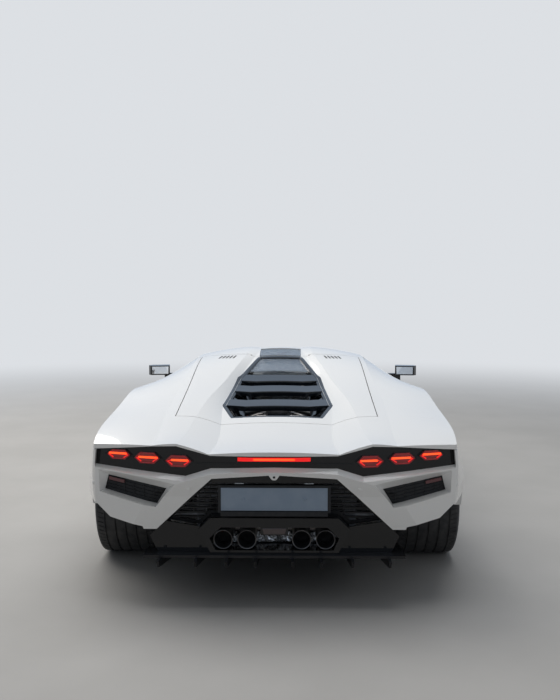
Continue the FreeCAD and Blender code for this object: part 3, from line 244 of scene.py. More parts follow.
# The record's slot that goes with a finish, where it has another name
SLOT_OF = {
    "cut_face": "rim", "rotor": "steel", "foil": "steel", "soot_and_painted_shade": "black_plastic", "mirror": "black_gloss",
    "screen": "black_gloss", "spring_paint": "cast", "head_red": "cast", "reflector": "lamp_red",
    "lamp_dark": "lamp_red", "glow_red": "lamp_red", "glow_orange": "lamp_red", "glow_dim": "lamp_red",
    "glow_white": "lamp_clear", "lens_clear": "lamp_clear", "amber": "lamp_clear",
    **dict.fromkeys(("suede", "suede_light", "stitch", "belt", "carpet", "red_plastic"), "leather"),
}


def dress_nodes():
    """Each CAD node takes the finish of its slot in the record; the louvres mirror more of the sky."""
    slots = {row["node"]: row["material_slot"] for row in frame["record"]["subparts"]}
    slots["engine_louvres"] = "louvre"
    for name, node in NODES.items():
        node.data.materials.clear()
        node.data.materials.append(FINISHES[slots[name]])


dress_nodes()


# Tools for shapes

def heading(path, k, loop=False):
    """The direction of a path at one of its points."""
    before = path[k - 1] if k or loop else path[k]
    after = path[(k + 1) % len(path)] if loop or k + 1 < len(path) else path[k]
    return (Vector(after) - Vector(before)).normalized()


def turned(t):
    """The unit vector at an angle in the car's side view."""
    return Vector((math.cos(t), 0, math.sin(t)))


def oblong(count, power_a, power_b, offset=0):
    """Corners of a rounded oblong of half sizes 1 and 1, as pairs."""
    corners = []
    for k in range(count):
        t = math.tau * (k + offset) / count
        a, b = math.cos(t), math.sin(t)
        corners.append((math.copysign(abs(a) ** power_a, a), math.copysign(abs(b) ** power_b, b)))
    return corners


class Shape:
    """Collects the corners and faces of one piece."""

    def __init__(self):
        self.verts = []
        self.faces = []

    def put(self, verts, faces):
        start = len(self.verts)
        self.verts += [Vector(v) for v in verts]
        self.faces += [[start + i for i in face] for face in faces]
        return self

    def prism(self, outline, push):
        """An outline in space, pushed along a vector."""
        count = len(outline)
        corners = [Vector(p) for p in outline]
        corners += [p + Vector(push) for p in corners]
        sides = [[i, (i + 1) % count, count + (i + 1) % count, count + i] for i in range(count)]
        return self.put(corners, [list(range(count)), list(range(count, 2 * count))] + sides)

    def box(self, low, high):
        x0, y0, z0 = low
        x1, y1, z1 = high
        return self.prism([(x0, y0, z0), (x1, y0, z0), (x1, y1, z0), (x0, y1, z0)], (0, 0, z1 - z0))

    def plate(self, foot, head, push, y=0):
        """An upright four-cornered plate, pushed along a vector; foot and head are (x, half width, z)."""
        (x0, a, z0), (x1, b, z1) = foot, head
        return self.prism([(x0, y - a, z0), (x0, y + a, z0), (x1, y + b, z1), (x1, y - b, z1)], push)

    def rings(self, rings, around=True, caps=True, loop=False):
        """Skins a row of sections; loop joins the last to the first."""
        count = len(rings[0])
        faces = []
        for k in range(len(rings) if loop else len(rings) - 1):
            a, b = k * count, ((k + 1) % len(rings)) * count
            for i in range(count if around else count - 1):
                j = (i + 1) % count
                faces.append([a + i, a + j, b + j, b + i])
        if caps and around and not loop:
            faces += [list(range(count)), list(range((len(rings) - 1) * count, len(rings) * count))]
        return self.put([p for ring in rings for p in ring], faces)

    def tube(self, points, radius, sides=10, loop=False):
        """A round bar along a path; the radius may be a list, one for each point."""
        path = [Vector(p) for p in points]
        radii = radius if isinstance(radius, (list, tuple)) else [radius] * len(path)
        rings = []
        for k, p in enumerate(path):
            along = heading(path, k, loop)
            across = along.orthogonal() if abs(along.z) > 0.9 else along.cross(Vector((0, 0, 1)))
            across.normalize()
            up = along.cross(across)
            turns = [math.tau * i / sides for i in range(sides)]
            rings.append([p + (across * math.cos(t) + up * math.sin(t)) * radii[k] for t in turns])
        return self.rings(rings, loop=loop)

    def lathe(self, profile, centre, axis, sides=48, closed=False):
        """A profile of (radius, distance along the axis) turned about an axis."""
        axis = Vector(axis).normalized()
        across = axis.orthogonal().normalized()
        up = axis.cross(across)
        rings = []
        for k in range(sides):
            t = math.tau * k / sides
            out = across * math.cos(t) + up * math.sin(t)
            rings.append([Vector(centre) + out * r + axis * d for r, d in profile])
        return self.rings(rings, around=closed, loop=True)

    def other(self):
        """The mirror of this shape on the car's other side."""
        return Shape().put([(v.x, -v.y, v.z) for v in self.verts], [face[::-1] for face in self.faces])

    def mirror(self):
        """Adds the mirror of everything so far on the car's other side."""
        twin = self.other()
        return self.put(twin.verts, twin.faces)

    def make(self, name, look, body="body", slot=None, bevel=0, angle=35, rounds=0):
        """The piece itself, on its body; edges sharper than the angle are bevelled. Its slot is not used."""
        mesh = bpy.data.meshes.new(name)
        mesh.from_pydata([tuple(v) for v in self.verts], [], self.faces)
        work = bmesh.new()
        work.from_mesh(mesh)
        bmesh.ops.remove_doubles(work, verts=work.verts, dist=1e-6)
        bmesh.ops.recalc_face_normals(work, faces=work.faces)
        if bevel:
            sharp = [e for e in work.edges if e.calc_face_angle(0) > math.radians(angle)]
            bmesh.ops.bevel(work, geom=sharp, offset=bevel, segments=3, affect="EDGES", clamp_overlap=True)
        work.to_mesh(mesh)
        work.free()
        mesh.polygons.foreach_set("use_smooth", [True] * len(mesh.polygons))
        mesh.set_sharp_from_angle(angle=math.radians(angle))
        mesh.materials.append(FINISHES[look])
        piece = bpy.data.objects.new(name, mesh)
        bpy.context.scene.collection.objects.link(piece)
        if rounds:
            round_off(piece, rounds)
        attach(piece, body)
        return piece

    def pair(self, name, look, slot=None, **edges):
        """This piece on the left door and, mirrored, on the right one."""
        self.make(f"{name}_left", look, "door_left", slot, **edges)
        self.other().make(f"{name}_right", look, "door_right", slot, **edges)


def shapes(count):
    return [Shape() for _ in range(count)]


def round_off(piece, levels):
    """Rounds a piece by subdividing it."""
    piece.modifiers.new("rounds", "SUBSURF").levels = levels
    piece.modifiers["rounds"].render_levels = levels


# Where the rays of each view start and how they run
RAYS = {
    "behind": lambda a, b: (Vector((-4, a, b)), Vector((1, 0, 0))),
    "ahead": lambda a, b: (Vector((4, a, b)), Vector((-1, 0, 0))),
    "above": lambda a, b: (Vector((a, b, 3)), Vector((0, 0, -1))),
    "left": lambda a, b: (Vector((a, 3, b)), Vector((0, -1, 0))),
}


def skin_of(name, view):
    """The outer surface of a CAD node as a view sees it, to lay details on."""
    mesh = NODES[name].data
    corners = [v.co.copy() for v in mesh.vertices]
    return BVHTree.FromPolygons(corners, [list(p.vertices) for p in mesh.polygons]), RAYS[view]


def lay(skin, a, b, lift=0.0):
    """The point of a skin seen at a place in its view, lifted off it along its normal.

    Where the place is just past an edge, the surface is carried on from the nearest place that shows it.
    """
    tree, ray = skin
    for ring in range(12):
        for turn in range(8 if ring else 1):
            angle = math.tau * turn / 8
            start, direction = ray(a + 0.002 * ring * math.cos(angle), b + 0.002 * ring * math.sin(angle))
            point, normal, _, _ = tree.ray_cast(start, direction)
            if point is None:
                continue
            if normal.dot(direction) > 0:
                normal = -normal
            return point + ray(a, b)[0] - start + normal * lift
    raise ValueError(f"nothing at {a:.3f}, {b:.3f}")


def divided(outline, step, closed=True):
    """An outline with its long sides cut into shorter ones."""
    points = []
    ends = list(outline[1:]) + ([outline[0]] if closed else [])
    for a, b in zip(outline, ends):
        count = max(1, math.ceil(math.dist(a, b) / step))
        points += [(a[0] + (b[0] - a[0]) * k / count, a[1] + (b[1] - a[1]) * k / count) for k in range(count)]
    return points if closed else points + [tuple(outline[-1])]


def strip(shape, skin, line, width, high, low=-0.001, step=0.03, loop=False):
    """A band of a width along a line laid on a skin, between two lifts."""
    path = divided(line, step, loop)
    sections = []
    for k, p in enumerate(path):
        along = heading(path, k, loop)
        left, right = [(p[0] - along.y * s * width / 2, p[1] + along.x * s * width / 2) for s in (1, -1)]
        sections.append([lay(skin, *left, low), lay(skin, *left, high), lay(skin, *right, high),
                         lay(skin, *right, low)])
    return shape.rings(sections, loop=loop)


def patch(shape, skin, corners, high, parts=6, low=-0.001):
    """A four-cornered plate laid on a skin, between two lifts."""
    a, b, c, d = [Vector(p) for p in corners]
    places = []
    for i in range(parts + 1):
        left, right = a.lerp(d, i / parts), b.lerp(c, i / parts)
        places += [left.lerp(right, k / parts) for k in range(parts + 1)]
    n = parts + 1
    total = n * n
    faces = []
    for i in range(parts):
        for k in range(parts):
            q = [i * n + k, i * n + k + 1, (i + 1) * n + k + 1, (i + 1) * n + k]
            faces += [q, [total + v for v in reversed(q)]]
    rim = list(range(n)) + [i * n + parts for i in range(1, n)]
    rim += [parts * n + k for k in reversed(range(parts))] + [i * n for i in reversed(range(1, parts))]
    for v, w in zip(rim, rim[1:] + rim[:1]):
        faces.append([v, w, total + w, total + v])
    return shape.put([lay(skin, *p, lift) for lift in (high, low) for p in places], faces)


# Tail: its lamps and the light bar in the middle

PANEL = skin_of("lamp_panel", "behind")
LENSES = skin_of("tail_lamps", "behind")

# Tail lamps: centre y, centre z, half width, half height and the lit bar's half length, middle y and middle z
LAMPS = ((0.774, 0.752, 0.062, 0.024, 0.046, 0.776, 0.758), (0.626, 0.742, 0.066, 0.028, 0.048, 0.62, 0.7455),
         (0.468, 0.733, 0.066, 0.029, 0.042, 0.46, 0.738))
HEXAGON = ((-1, 0), (-0.55, 1), (0.55, 1), (1, 0), (0.55, -1), (-0.55, -1))
BAR_Z = 0.749


def tail_lamps():
    frames, bars, ribs, glow = shapes(4)
    for y, z, wide, high, reach, bar_y, bar_z in LAMPS:
        outline = [(y + a * 0.9 * wide, z + b * 0.82 * high) for a, b in HEXAGON]
        strip(frames, LENSES, outline, 0.0036, 0.002, loop=True)
        strip(bars, LENSES, [(bar_y - reach, bar_z), (bar_y + reach, bar_z)], 0.009, 0.004)
        for side in (-1, 1):
            bent = [(bar_y + side * reach, bar_z), (y + side * 0.8 * wide, z),
                    (y + side * 0.44 * wide, z - 0.6 * high)]
            strip(glow, LENSES, bent, 0.0055, 0.003)
        for side in (1, -1):
            near, far = y + side * (0.55 * wide + 0.01), y + side * (wide + 0.009)
            strip(ribs, PANEL, [(near, z + 0.78 * high), (far, z), (near, z - 0.78 * high)], 0.004, 0.004)
    strip(ribs, PANEL, [(0.384, 0.722), (0.33, 0.726), (0.19, 0.728)], 0.003, 0.003)
    frames.mirror().make("lamp_frames", "glow_dim")
    glow.mirror().make("lamp_ends", "glow_red")
    bars.mirror().make("lamp_bars", "glow_orange")
    ribs.mirror().make("lamp_ribs", "black_plastic")
    # Light bar in the middle: half length, width, top and foot of its parts, then their finish and bevel
    for name, reach, width, high, low, look, bevel in (
            ("centre_lamp_housing", 0.182, 0.026, 0.006, -0.001, "black_gloss", 0.001),
            ("centre_lamp", 0.176, 0.018, 0.009, 0.004, "glow_red", 0),
            ("centre_lamp_core", 0.1, 0.009, 0.0105, 0.008, "glow_orange", 0)):
        part = strip(Shape(), PANEL, [(-reach, BAR_Z), (reach, BAR_Z)], width, high, low)
        part.make(name, look, bevel=bevel)


# Plate, its holder, the camera and the grille's upright ribs

PLATE_X = -2.351
PLATE_Z = 0.547
PLATE_HALF = (0.26, 0.056)


def ring_face(x, grow_y, grow_z, width, depth):
    """A flat rectangular frame that faces backwards, its outer edge grown from the plate's."""
    y, z = PLATE_HALF[0] + grow_y, PLATE_HALF[1] + grow_z
    sections = []
    for a, b in ((-1, -1), (1, -1), (1, 1), (-1, 1)):
        outer = (a * y, PLATE_Z + b * z)
        inner = (a * (y - width), PLATE_Z + b * (z - width))
        sections.append([(x, *outer), (x - depth, *outer), (x - depth, *inner), (x, *inner)])
    return Shape().rings(sections, loop=True)


def number_plate():
    ring_face(PLATE_X, -0.004, -0.004, 0.004, 0.0016).make("plate_rim", "plate", bevel=0.0005)
    holder = ring_face(PLATE_X + 0.009, 0.016, 0.012, 0.026, 0.006)
    holder.box((PLATE_X - 0.004, -0.262, PLATE_Z - 0.084), (PLATE_X + 0.008, 0.262, PLATE_Z - 0.06))
    holder.make("plate_holder", "black_plastic", bevel=0.0015)
    screws, lights = shapes(2)
    cap = [(0, 0.0035), (0.004, 0.0034), (0.0075, 0.0022), (0.0085, 0)]
    for y in (-0.15, 0.15):
        screws.lathe(cap, (PLATE_X, y, PLATE_Z), (-1, 0, 0), 20)
    screws.make("plate_screw_caps", "plate")
    bar = Shape().plate((-2.352, 0.3, 0.664), (-2.346, 0.31, 0.626), (0.03, 0, 0))
    bar.make("plate_light_bar", "black_gloss", bevel=0.003)
    for y in (-0.17, 0.17):
        lights.box((-2.349, y - 0.022, 0.6225), (-2.332, y + 0.022, 0.6262))
    lights.make("plate_lights", "lens_clear", bevel=0.001)
    housing = Shape().plate((-2.386, 0.031, 0.677), (-2.38, 0.01, 0.647), (0.034, 0, 0))
    housing.make("camera_housing", "paint", bevel=0.003)
    eye = [(0, 0.004), (0.004, 0.0036), (0.0062, 0.001), (0.0068, -0.004)]
    Shape().lathe(eye, (-2.3832, 0, 0.6625), (-1, 0, -0.2), 24).make("camera_eye", "black_gloss")


# Half of the grille's outline as (y, z), and the lowest slot's height and the slots' pitch
GRILLE_FIELD = ((0, 0.655), (0.296, 0.64), (0.515, 0.434), (0.385, 0.412), (0.325, 0.462), (0, 0.462))
SLOT_START = 0.462
SLOT_PITCH = 0.024
RIB_PITCH = 0.058


def inside(y, z, outline):
    """Whether a place lies inside an outline of corners."""
    hit = False
    for (y0, z0), (y1, z1) in zip(outline, outline[1:] + outline[:1]):
        if (z0 > z) != (z1 > z) and y < (y1 - y0) * (z - z0) / (z1 - z0) + y0:
            hit = not hit
    return hit


def grille_ribs():
    """Short upright ribs across the grille's slots, offset in turn like bricks, and thin slats between."""
    field = list(GRILLE_FIELD) + [(-y, z) for y, z in reversed(GRILLE_FIELD) if y]
    ribs, thin = shapes(2)
    grille = skin_of("rear_grille", "behind")
    for row in range(9):
        z = SLOT_START + SLOT_PITCH * row
        for column in range(-9, 10):
            y = RIB_PITCH * (column + (0.5 if row % 2 else 0))
            behind_plate = abs(y) < 0.28 and PLATE_Z - 0.09 < z < PLATE_Z + 0.12
            if behind_plate or not inside(y, z - 0.006, field) or not inside(y, z + 0.022, field):
                continue
            x = lay(grille, y, z - 0.0045).x
            ribs.box((x + 0.001, y - 0.002, z - 0.001), (x + 0.012, y + 0.002, z + 0.016))
            if inside(y + RIB_PITCH, z + 0.01, field):
                thin.box((x + 0.003, y, z + 0.006), (x + 0.01, y + RIB_PITCH, z + 0.0085))
    ribs.make("grille_ribs", "black_plastic")
    thin.make("grille_thin_slats", "black_plastic")


# Exhaust tips, heat shield and the fog lamp

TIP_X = -2.345
TIP_Z = 0.346
TIPS = (0.134, 0.251, -0.134, -0.251)
TIP_LIP = ((0.0425, 0.02), (0.0425, 0.001), (0.0438, -0.0022), (0.0458, -0.003), (0.0474, -0.0012),
           (0.0478, 0.002), (0.0474, 0.006), (0.0462, 0.008))
TIP_LINER = ((0.0432, 0.004), (0.041, 0.01), (0.0405, 0.06), (0.036, 0.066), (0.036, 0.092), (0.0, 0.096))


def exhaust_trim():
    lips, liners, foil = shapes(3)
    for y in TIPS:
        lips.lathe(TIP_LIP, (TIP_X, y, TIP_Z), (1, 0, 0), 64)
        liners.lathe(TIP_LINER, (TIP_X, y, TIP_Z), (1, 0, 0), 40)
    lips.make("exhaust_lips", "exhaust_steel")
    liners.make("exhaust_liners", "soot_and_painted_shade", slot="exhaust_steel")
    columns, rows = 90, 10
    grid = []
    for i in range(rows + 1):
        row = []
        for k in range(columns + 1):
            x = -2.19 + 0.016 * random.random() * (0 < i < rows)
            row.append((x, -0.31 + 0.62 * k / columns, 0.288 + 0.052 * i / rows + 0.004 * random.random()))
        grid.append(row)
    foil.rings(grid, around=False)
    foil.make("heat_shield", "foil", angle=60)
    fog = Shape().plate((-2.3435, 0.06, 0.4), (-2.3435, 0.052, 0.371), (0.006, 0, 0))
    fog.make("fog_lamp", "lamp_dark", bevel=0.002)


# Corner vents: slats across the hole and a reflector in it

VENT = ((0.837, 0.639), (0.534, 0.588), (0.585, 0.507), (0.857, 0.566))


def corner_vents():
    backs = skin_of("rear_grille", "behind")
    slats, reflectors = shapes(2)
    corners = [Vector(p) for p in VENT]
    for k in range(1, 5):
        a, b = corners[0].lerp(corners[3], k / 5), corners[1].lerp(corners[2], k / 5)
        strip(slats, backs, [tuple(a.lerp(b, 0.03)), tuple(b.lerp(a, 0.03))], 0.004, 0.005)
    for y in (0.6, 0.65, 0.7, 0.75, 0.8):
        ends = [(y, 0.507 + 0.217 * (y - 0.585) + 0.008), (y, 0.588 + 0.168 * (y - 0.534) - 0.008)]
        strip(slats, backs, ends, 0.003, 0.004)
    patch(reflectors, backs, ((0.829, 0.632), (0.748, 0.618), (0.75, 0.602), (0.832, 0.615)), 0.01, 3, 0.004)
    slats.mirror().make("corner_vent_slats", "black_plastic")
    reflectors.mirror().make("reflectors", "reflector", bevel=0.001)


# Engine cover: the gloss frame round the vent, its side plates, a band round it and the slots ahead of it

VENT_PLAN = ((-0.435, 0.138), (-0.87, 0.252), (-1.45, 0.305), (-1.675, 0.245))
VENT_MIDDLE_X = -1.06
# The side plates between the louvres, as front and rear ends along the car
SIDE_PLATES = ((-0.8, -0.93), (-1.02, -1.16), (-1.24, -1.47), (-1.5, -1.62))
COVER_SLOT_X = -0.462


def with_mirror(half):
    """An outline from its left half."""
    return list(half) + [(x, -y) for x, y in reversed(half)]


def vent_edge(x):
    """Half width of the engine cover's opening at a place along the car."""
    for (x0, y0), (x1, y1) in zip(VENT_PLAN, VENT_PLAN[1:]):
        if x1 <= x <= x0:
            return y0 + (y1 - y0) * (x0 - x) / (x0 - x1)
    raise ValueError(x)


def engine_cover_trim():
    skin = skin_of("engine_cover", "above")
    rings = []
    for x, y in divided(with_mirror(VENT_PLAN), 0.03):
        out = Vector((x - VENT_MIDDLE_X, y)).normalized()
        top = lay(skin, x + 0.012 * out.x, y + 0.012 * out.y).z + 0.0008
        # Each corner of the frame's section as its reach inwards and its drop
        rings.append([(x - reach * out.x, y - reach * out.y, top - drop) for reach, drop in
                      ((0.0006, 0), (0.016, 0.006), (0.016, 0.05), (0.0006, 0.05))])
    Shape().rings(rings, loop=True).make("vent_frame", "black_gloss", "engine_cover", angle=30)
    plates, band, slots = shapes(3)
    for front, rear in SIDE_PLATES:
        corners = []
        for x in (front, rear):
            y = vent_edge(x) - 0.016
            z = lay(skin, x, y + 0.03).z
            corners.append([Vector((x, y, z - 0.008)), Vector((x - 0.02, y - 0.085, z - 0.06))])
        (a, b), (d, c) = corners
        plates.prism([a, b, c + Vector((0.05, 0, 0)), d], (0, 0, -0.004))
    plates.mirror().make("vent_side_plates", "black_gloss", "engine_cover", bevel=0.001)
    edge = [(x + 0.004, y + 0.011) for x, y in VENT_PLAN]
    edge[3] = (VENT_PLAN[3][0] - 0.01, VENT_PLAN[3][1] + 0.006)
    strip(band, skin, with_mirror(edge), 0.02, 0.0009, loop=True)
    patch(band, skin, ((-0.4035, -0.147), (-0.4035, 0.147), (-0.4345, 0.14), (-0.4345, -0.14)), 0.0012, 8)
    band.make("vent_band", "black_gloss", "engine_cover")
    bridge = patch(Shape(), skin_of("roof", "above"),
                   ((-0.3865, -0.147), (-0.3865, 0.147), (-0.3975, 0.147), (-0.3975, -0.147)), 0.0012, 8)
    bridge.make("roof_glass_edge", "black_gloss")
    # The slots ahead of the vent are dark strips laid on the cover: painted shade of the openings
    for k in range(5):
        y = 0.31 + 0.024 * k
        line = [(COVER_SLOT_X + 0.008, y), (COVER_SLOT_X - 0.07, y + 0.018)]
        strip(slots, skin, line, 0.01, 0.0007, -0.0008, 0.02)
    slots.mirror().make("cover_slots", "soot_and_painted_shade", "engine_cover")


# Wheels: tyres with a cut tread, centre caps, bolts, rim edges and brake rotors

# For each axle: centre x and y, radius, width, rim's radius, rim's face, disc's face and the grooves' places
AXLES = (
    ("front", 1.325, 0.88, 0.33, 0.255, 0.254, 0.1, 0.06, (0.0, 0.04, 0.08)),
    ("rear", -1.375, 0.8545, 0.355, 0.355, 0.267, 0.144, 0.1, (0.0, 0.058, 0.116)),
)
GROOVE_WIDTH = 0.01
GROOVE_DEPTH = 0.007
SIPE_DEPTH = 0.004
PITCHES = 76
TREAD_STEPS = 22
# Side of a tyre: distance in from its widest place, and radius beyond the tyre's or, at the bead, the rim's
SHOULDER = ((0.014, -0.006), (0.007, -0.014), (0.002, -0.025), (0.0005, -0.04))
BEAD = ((0.001, 0.04), (0.004, 0.03), (0.003, 0.026), (0.006, 0.016), (0.009, 0.01), (0.013, 0.001))


def tyre_profile(radius, width, rim, grooves):
    """Points of the tyre's outside as (distance from the middle plane, radius, whether sipes cut it)."""
    half = width / 2
    edge = half - 0.022
    tread = []
    for k in range(TREAD_STEPS + 1):
        d = -edge + 2 * edge * k / TREAD_STEPS
        tread.append((d, radius - 0.003 * (abs(d) / edge) ** 3, abs(d) > 0.76 * edge))
    cut = []
    w = GROOVE_WIDTH / 2
    for place in sorted({s * g for g in grooves for s in (-1, 1)}):
        for shift, drop in ((-w, 0.001), (-0.7 * w, GROOVE_DEPTH), (0.7 * w, GROOVE_DEPTH), (w, 0.001)):
            cut.append((place + shift, radius - drop, False))
        tread = [t for t in tread if abs(t[0] - place) > w + 0.0015]
    tread = sorted(tread + cut, key=lambda t: t[0])
    side = [(half - d, radius + r) for d, r in SHOULDER] + [(half - 0.0005, 0.5 * (radius + rim))]
    side += [(half - d, rim + r) for d, r in BEAD]
    return [(-d, r, False) for d, r in reversed(side)] + tread + [(d, r, False) for d, r in side]


def tyres_and_wheels():
    for axle, cx, cy, radius, width, rim, face, disc, grooves in AXLES:
        profile = tyre_profile(radius, width, rim, grooves)
        for hand, side in (("left", 1), ("right", -1)):
            name = f"{axle}_{hand}"
            rings = []
            for pitch in range(PITCHES):
                for share, sunk in ((0.0, 0), (0.84, 0), (0.86, 1), (0.98, 1)):
                    ring = []
                    for d, r, sipe in profile:
                        turn = math.tau * (pitch + share) / PITCHES + 0.9 * min(abs(d), width / 2 - 0.02)
                        r -= SIPE_DEPTH if sunk and sipe else 0
                        ring.append((cx + r * math.sin(turn), side * cy + d, radius + r * math.cos(turn)))
                    rings.append(ring)
            tyre = Shape().rings(rings, around=False, loop=True)
            tyre = tyre.make(f"tread_tyre_{name}", "tyre", f"wheel_{name}", angle=28)
            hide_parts(f"tyre_{name}")
            wheel_trim(name, side, Vector((cx, side * cy, radius)), rim, face, disc)


def wheel_trim(name, side, centre, rim, face, disc):
    body = f"wheel_{name}"
    out = Vector((0, side, 0))
    dish = face - 0.016
    caps, bolts, edge, ribs, rotor, holes, valve = shapes(7)
    caps.lathe([(0, dish + 0.013), (0.02, dish + 0.0125), (0.026, dish + 0.01), (0.03, dish - 0.001)],
               centre, out, 6)
    caps.make(f"centre_cap_{name}", "black_gloss", body, bevel=0.001)
    for k in range(5):
        place = centre + turned(math.tau * k / 5 + math.radians(54)) * 0.056
        bolts.lathe([(0, dish + 0.01), (0.006, dish + 0.01), (0.0085, dish + 0.008), (0.0105, dish + 0.0075),
                     (0.0125, dish - 0.001)], place, out, 6)
    bolts.make(f"wheel_bolts_{name}", "steel", body, bevel=0.0006)
    edge.lathe([(rim - 0.004, face - 0.002), (rim - 0.003, face + 0.01), (rim + 0.001, face + 0.0155),
                (rim + 0.006, face + 0.015), (rim + 0.0075, face + 0.011), (rim + 0.004, face + 0.004)],
               centre, out, 96, closed=True)
    edge.make(f"rim_edge_{name}", "cut_face", body, angle=50)
    for k in range(5):
        along = turned(math.tau * (k + 0.5) / 5)
        for spread in (-1, 1):
            across = Vector((-along.z, 0, along.x)) * spread
            a, b = centre + along * 0.078 + across * 0.004, centre + along * 0.9 * rim + across * 0.03
            ribs.prism([a + out * (dish - 0.001), a + out * (dish + 0.003), b + out * (face - 0.003),
                        b + out * (face - 0.012)], across * 0.007)
    ribs.make(f"rim_ribs_{name}", "cut_face", body, bevel=0.001)
    low, high = disc - 0.001, disc + 0.0012
    section = [(0.095, low), (0.095, high), (0.188, high), (0.188, low)]
    rotor.lathe(section, centre, out, 96, closed=True)
    rotor.make(f"rotor_face_{name}", "rotor", body, angle=50)
    # The drilled holes are dark dots on the rotor's face: painted shade of holes that are not cut
    for k in range(60):
        place = centre + turned(math.tau * k / 60) * (0.112, 0.132, 0.152, 0.172)[k % 4]
        holes.lathe([(0, disc + 0.0014), (0.0028, disc + 0.0014), (0.003, disc + 0.0008)], place, out, 8)
    holes.make(f"rotor_holes_{name}", "soot_and_painted_shade", body, "steel")
    foot = centre + turned(math.radians(18)) * (rim - 0.022) + out * (face - 0.004)
    valve.tube([foot, foot + out * 0.01], [0.003, 0.0026], 10)
    valve.make(f"valve_{name}", "tyre", body)


tail_lamps()
number_plate()
grille_ribs()
exhaust_trim()
corner_vents()
engine_cover_trim()
tyres_and_wheels()


# Outside: mirrors, wiper, headlamps, handles, fuel lid, vents in the lid, fasteners, sensors and the engine

def mirrors():
    tree = skin_of("mirror_left", "behind")
    glass = patch(Shape(), tree, ((0.964, 0.858), (1.096, 0.858), (1.098, 0.919), (0.962, 0.919)), 0.0012, 4)
    glass.pair("mirror_glass", "mirror")
    rim = [(0.96, 0.855), (1.1, 0.855), (1.102, 0.922), (0.958, 0.922)]
    strip(Shape(), tree, rim, 0.004, 0.0025, loop=True).pair("mirror_rim", "black_plastic")
    repeater = strip(Shape(), skin_of("mirror_left", "ahead"), [(0.99, 0.872), (1.09, 0.872)], 0.006, 0.0015)
    repeater.pair("mirror_repeater", "amber")


def wiper():
    glass = skin_of("windshield", "above")
    blade, arm = shapes(2)
    line = [(1.01, -0.42), (1.022, -0.2), (1.026, 0.0), (1.022, 0.18)]
    strip(blade, glass, line, 0.007, 0.009, 0.0005)
    strip(blade, glass, line, 0.013, 0.014, 0.009)
    blade.make("wiper_blade", "black_plastic", bevel=0.001)
    points = [lay(glass, *place) for place in
              ((1.022, -0.1, 0.014), (1.028, 0.05, 0.022), (1.034, 0.22, 0.026), (1.03, 0.34, 0.022))]
    arm.tube(points, [0.004, 0.005, 0.006, 0.008], 12)
    arm.lathe([(0, 0.012), (0.012, 0.01), (0.016, 0.002), (0.016, -0.024)], points[-1], (0, 0, 1), 24)
    arm.make("wiper_arm", "black_plastic", bevel=0.0005)


# Plan of the headlamp as (x, y), drawn in a little from its edge, and the places of its projectors
HEADLAMP = ((2.095, 0.59), (2.2, 0.64), (2.165, 0.815), (2.005, 0.8))
HEADLAMP_SHARE = 0.93
PROJECTORS = ((2.128, 0.672), (2.108, 0.728), (2.088, 0.782))


def headlamps():
    skin = skin_of("headlamps", "above")
    housing, rings, lenses, light = shapes(4)
    middle = sum((Vector(p) for p in HEADLAMP), Vector((0, 0))) / len(HEADLAMP)
    patch(housing, skin, [middle.lerp(Vector(p), HEADLAMP_SHARE) for p in HEADLAMP], -0.026, 6, -0.034)
    out = (0.5, 0, 0.86)
    for x, y in PROJECTORS:
        seat = lay(skin, x, y, -0.027)
        rings.lathe([(0.024, 0), (0.024, 0.01), (0.0205, 0.013), (0.019, 0.004)], seat, out, 6, closed=True)
        lenses.lathe([(0, 0.011), (0.007, 0.0102), (0.013, 0.0072), (0.0165, 0.002), (0.017, -0.001)],
                     seat, out, 32)
    for line in (((2.09, 0.63), (2.163, 0.66), (2.148, 0.72)),
                 ((2.143, 0.742), (2.133, 0.792), (2.04, 0.784))):
        strip(light, skin, line, 0.006, -0.014, -0.02)
    housing.mirror().make("headlamp_housings", "black_gloss")
    rings.mirror().make("headlamp_rings", "cut_face", slot="lamp_clear", bevel=0.0005)
    lenses.mirror().make("headlamp_lenses", "lens_clear")
    light.mirror().make("headlamp_light_lines", "glow_white")


def door_details():
    skin = skin_of("door_left", "left")
    recess = ((-0.27, 0.7), (-0.4, 0.69), (-0.405, 0.728), (-0.27, 0.738))
    patch(Shape(), skin, recess, 0.001, 4).pair("handle_recess", "black_gloss")
    flap = ((-0.276, 0.71), (-0.394, 0.7), (-0.398, 0.724), (-0.276, 0.733))
    patch(Shape(), skin, flap, 0.0065, 4, 0.0005).pair("handle_flap", "paint", bevel=0.002)
    barrel = [(0, 0.0015), (0.006, 0.0015), (0.0075, 0.0005), (0.008, -0.001)]
    Shape().lathe(barrel, lay(skin, -0.418, 0.706), (0, 1, 0.2), 24).pair("lock_barrel", "steel")
    edge = [(0.59, 0.764), (0.475, 0.724), (0.02, 0.66), (-0.31, 0.657)]
    seal = strip(Shape(), skin_of("door_glass_left", "above"), edge, 0.008, 0.0025)
    seal.pair("glass_seal", "black_plastic")


FUEL_LID = (-0.98, 0.735)
FUEL_LID_SIZE = 0.07


def fuel_lid():
    """The fine gap round the fuel lid, on the left rear quarter only, drawn as a dark line of painted shade.
    """
    outline = []
    for k in range(6):
        out = turned(math.tau * k / 6) * FUEL_LID_SIZE
        outline.append((FUEL_LID[0] + out.x, FUEL_LID[1] + 0.8 * out.z))
    line = strip(Shape(), skin_of("rear_quarters", "left"), outline, 0.003, 0.0004, step=0.02, loop=True)
    line.make("fuel_lid_line", "soot_and_painted_shade")


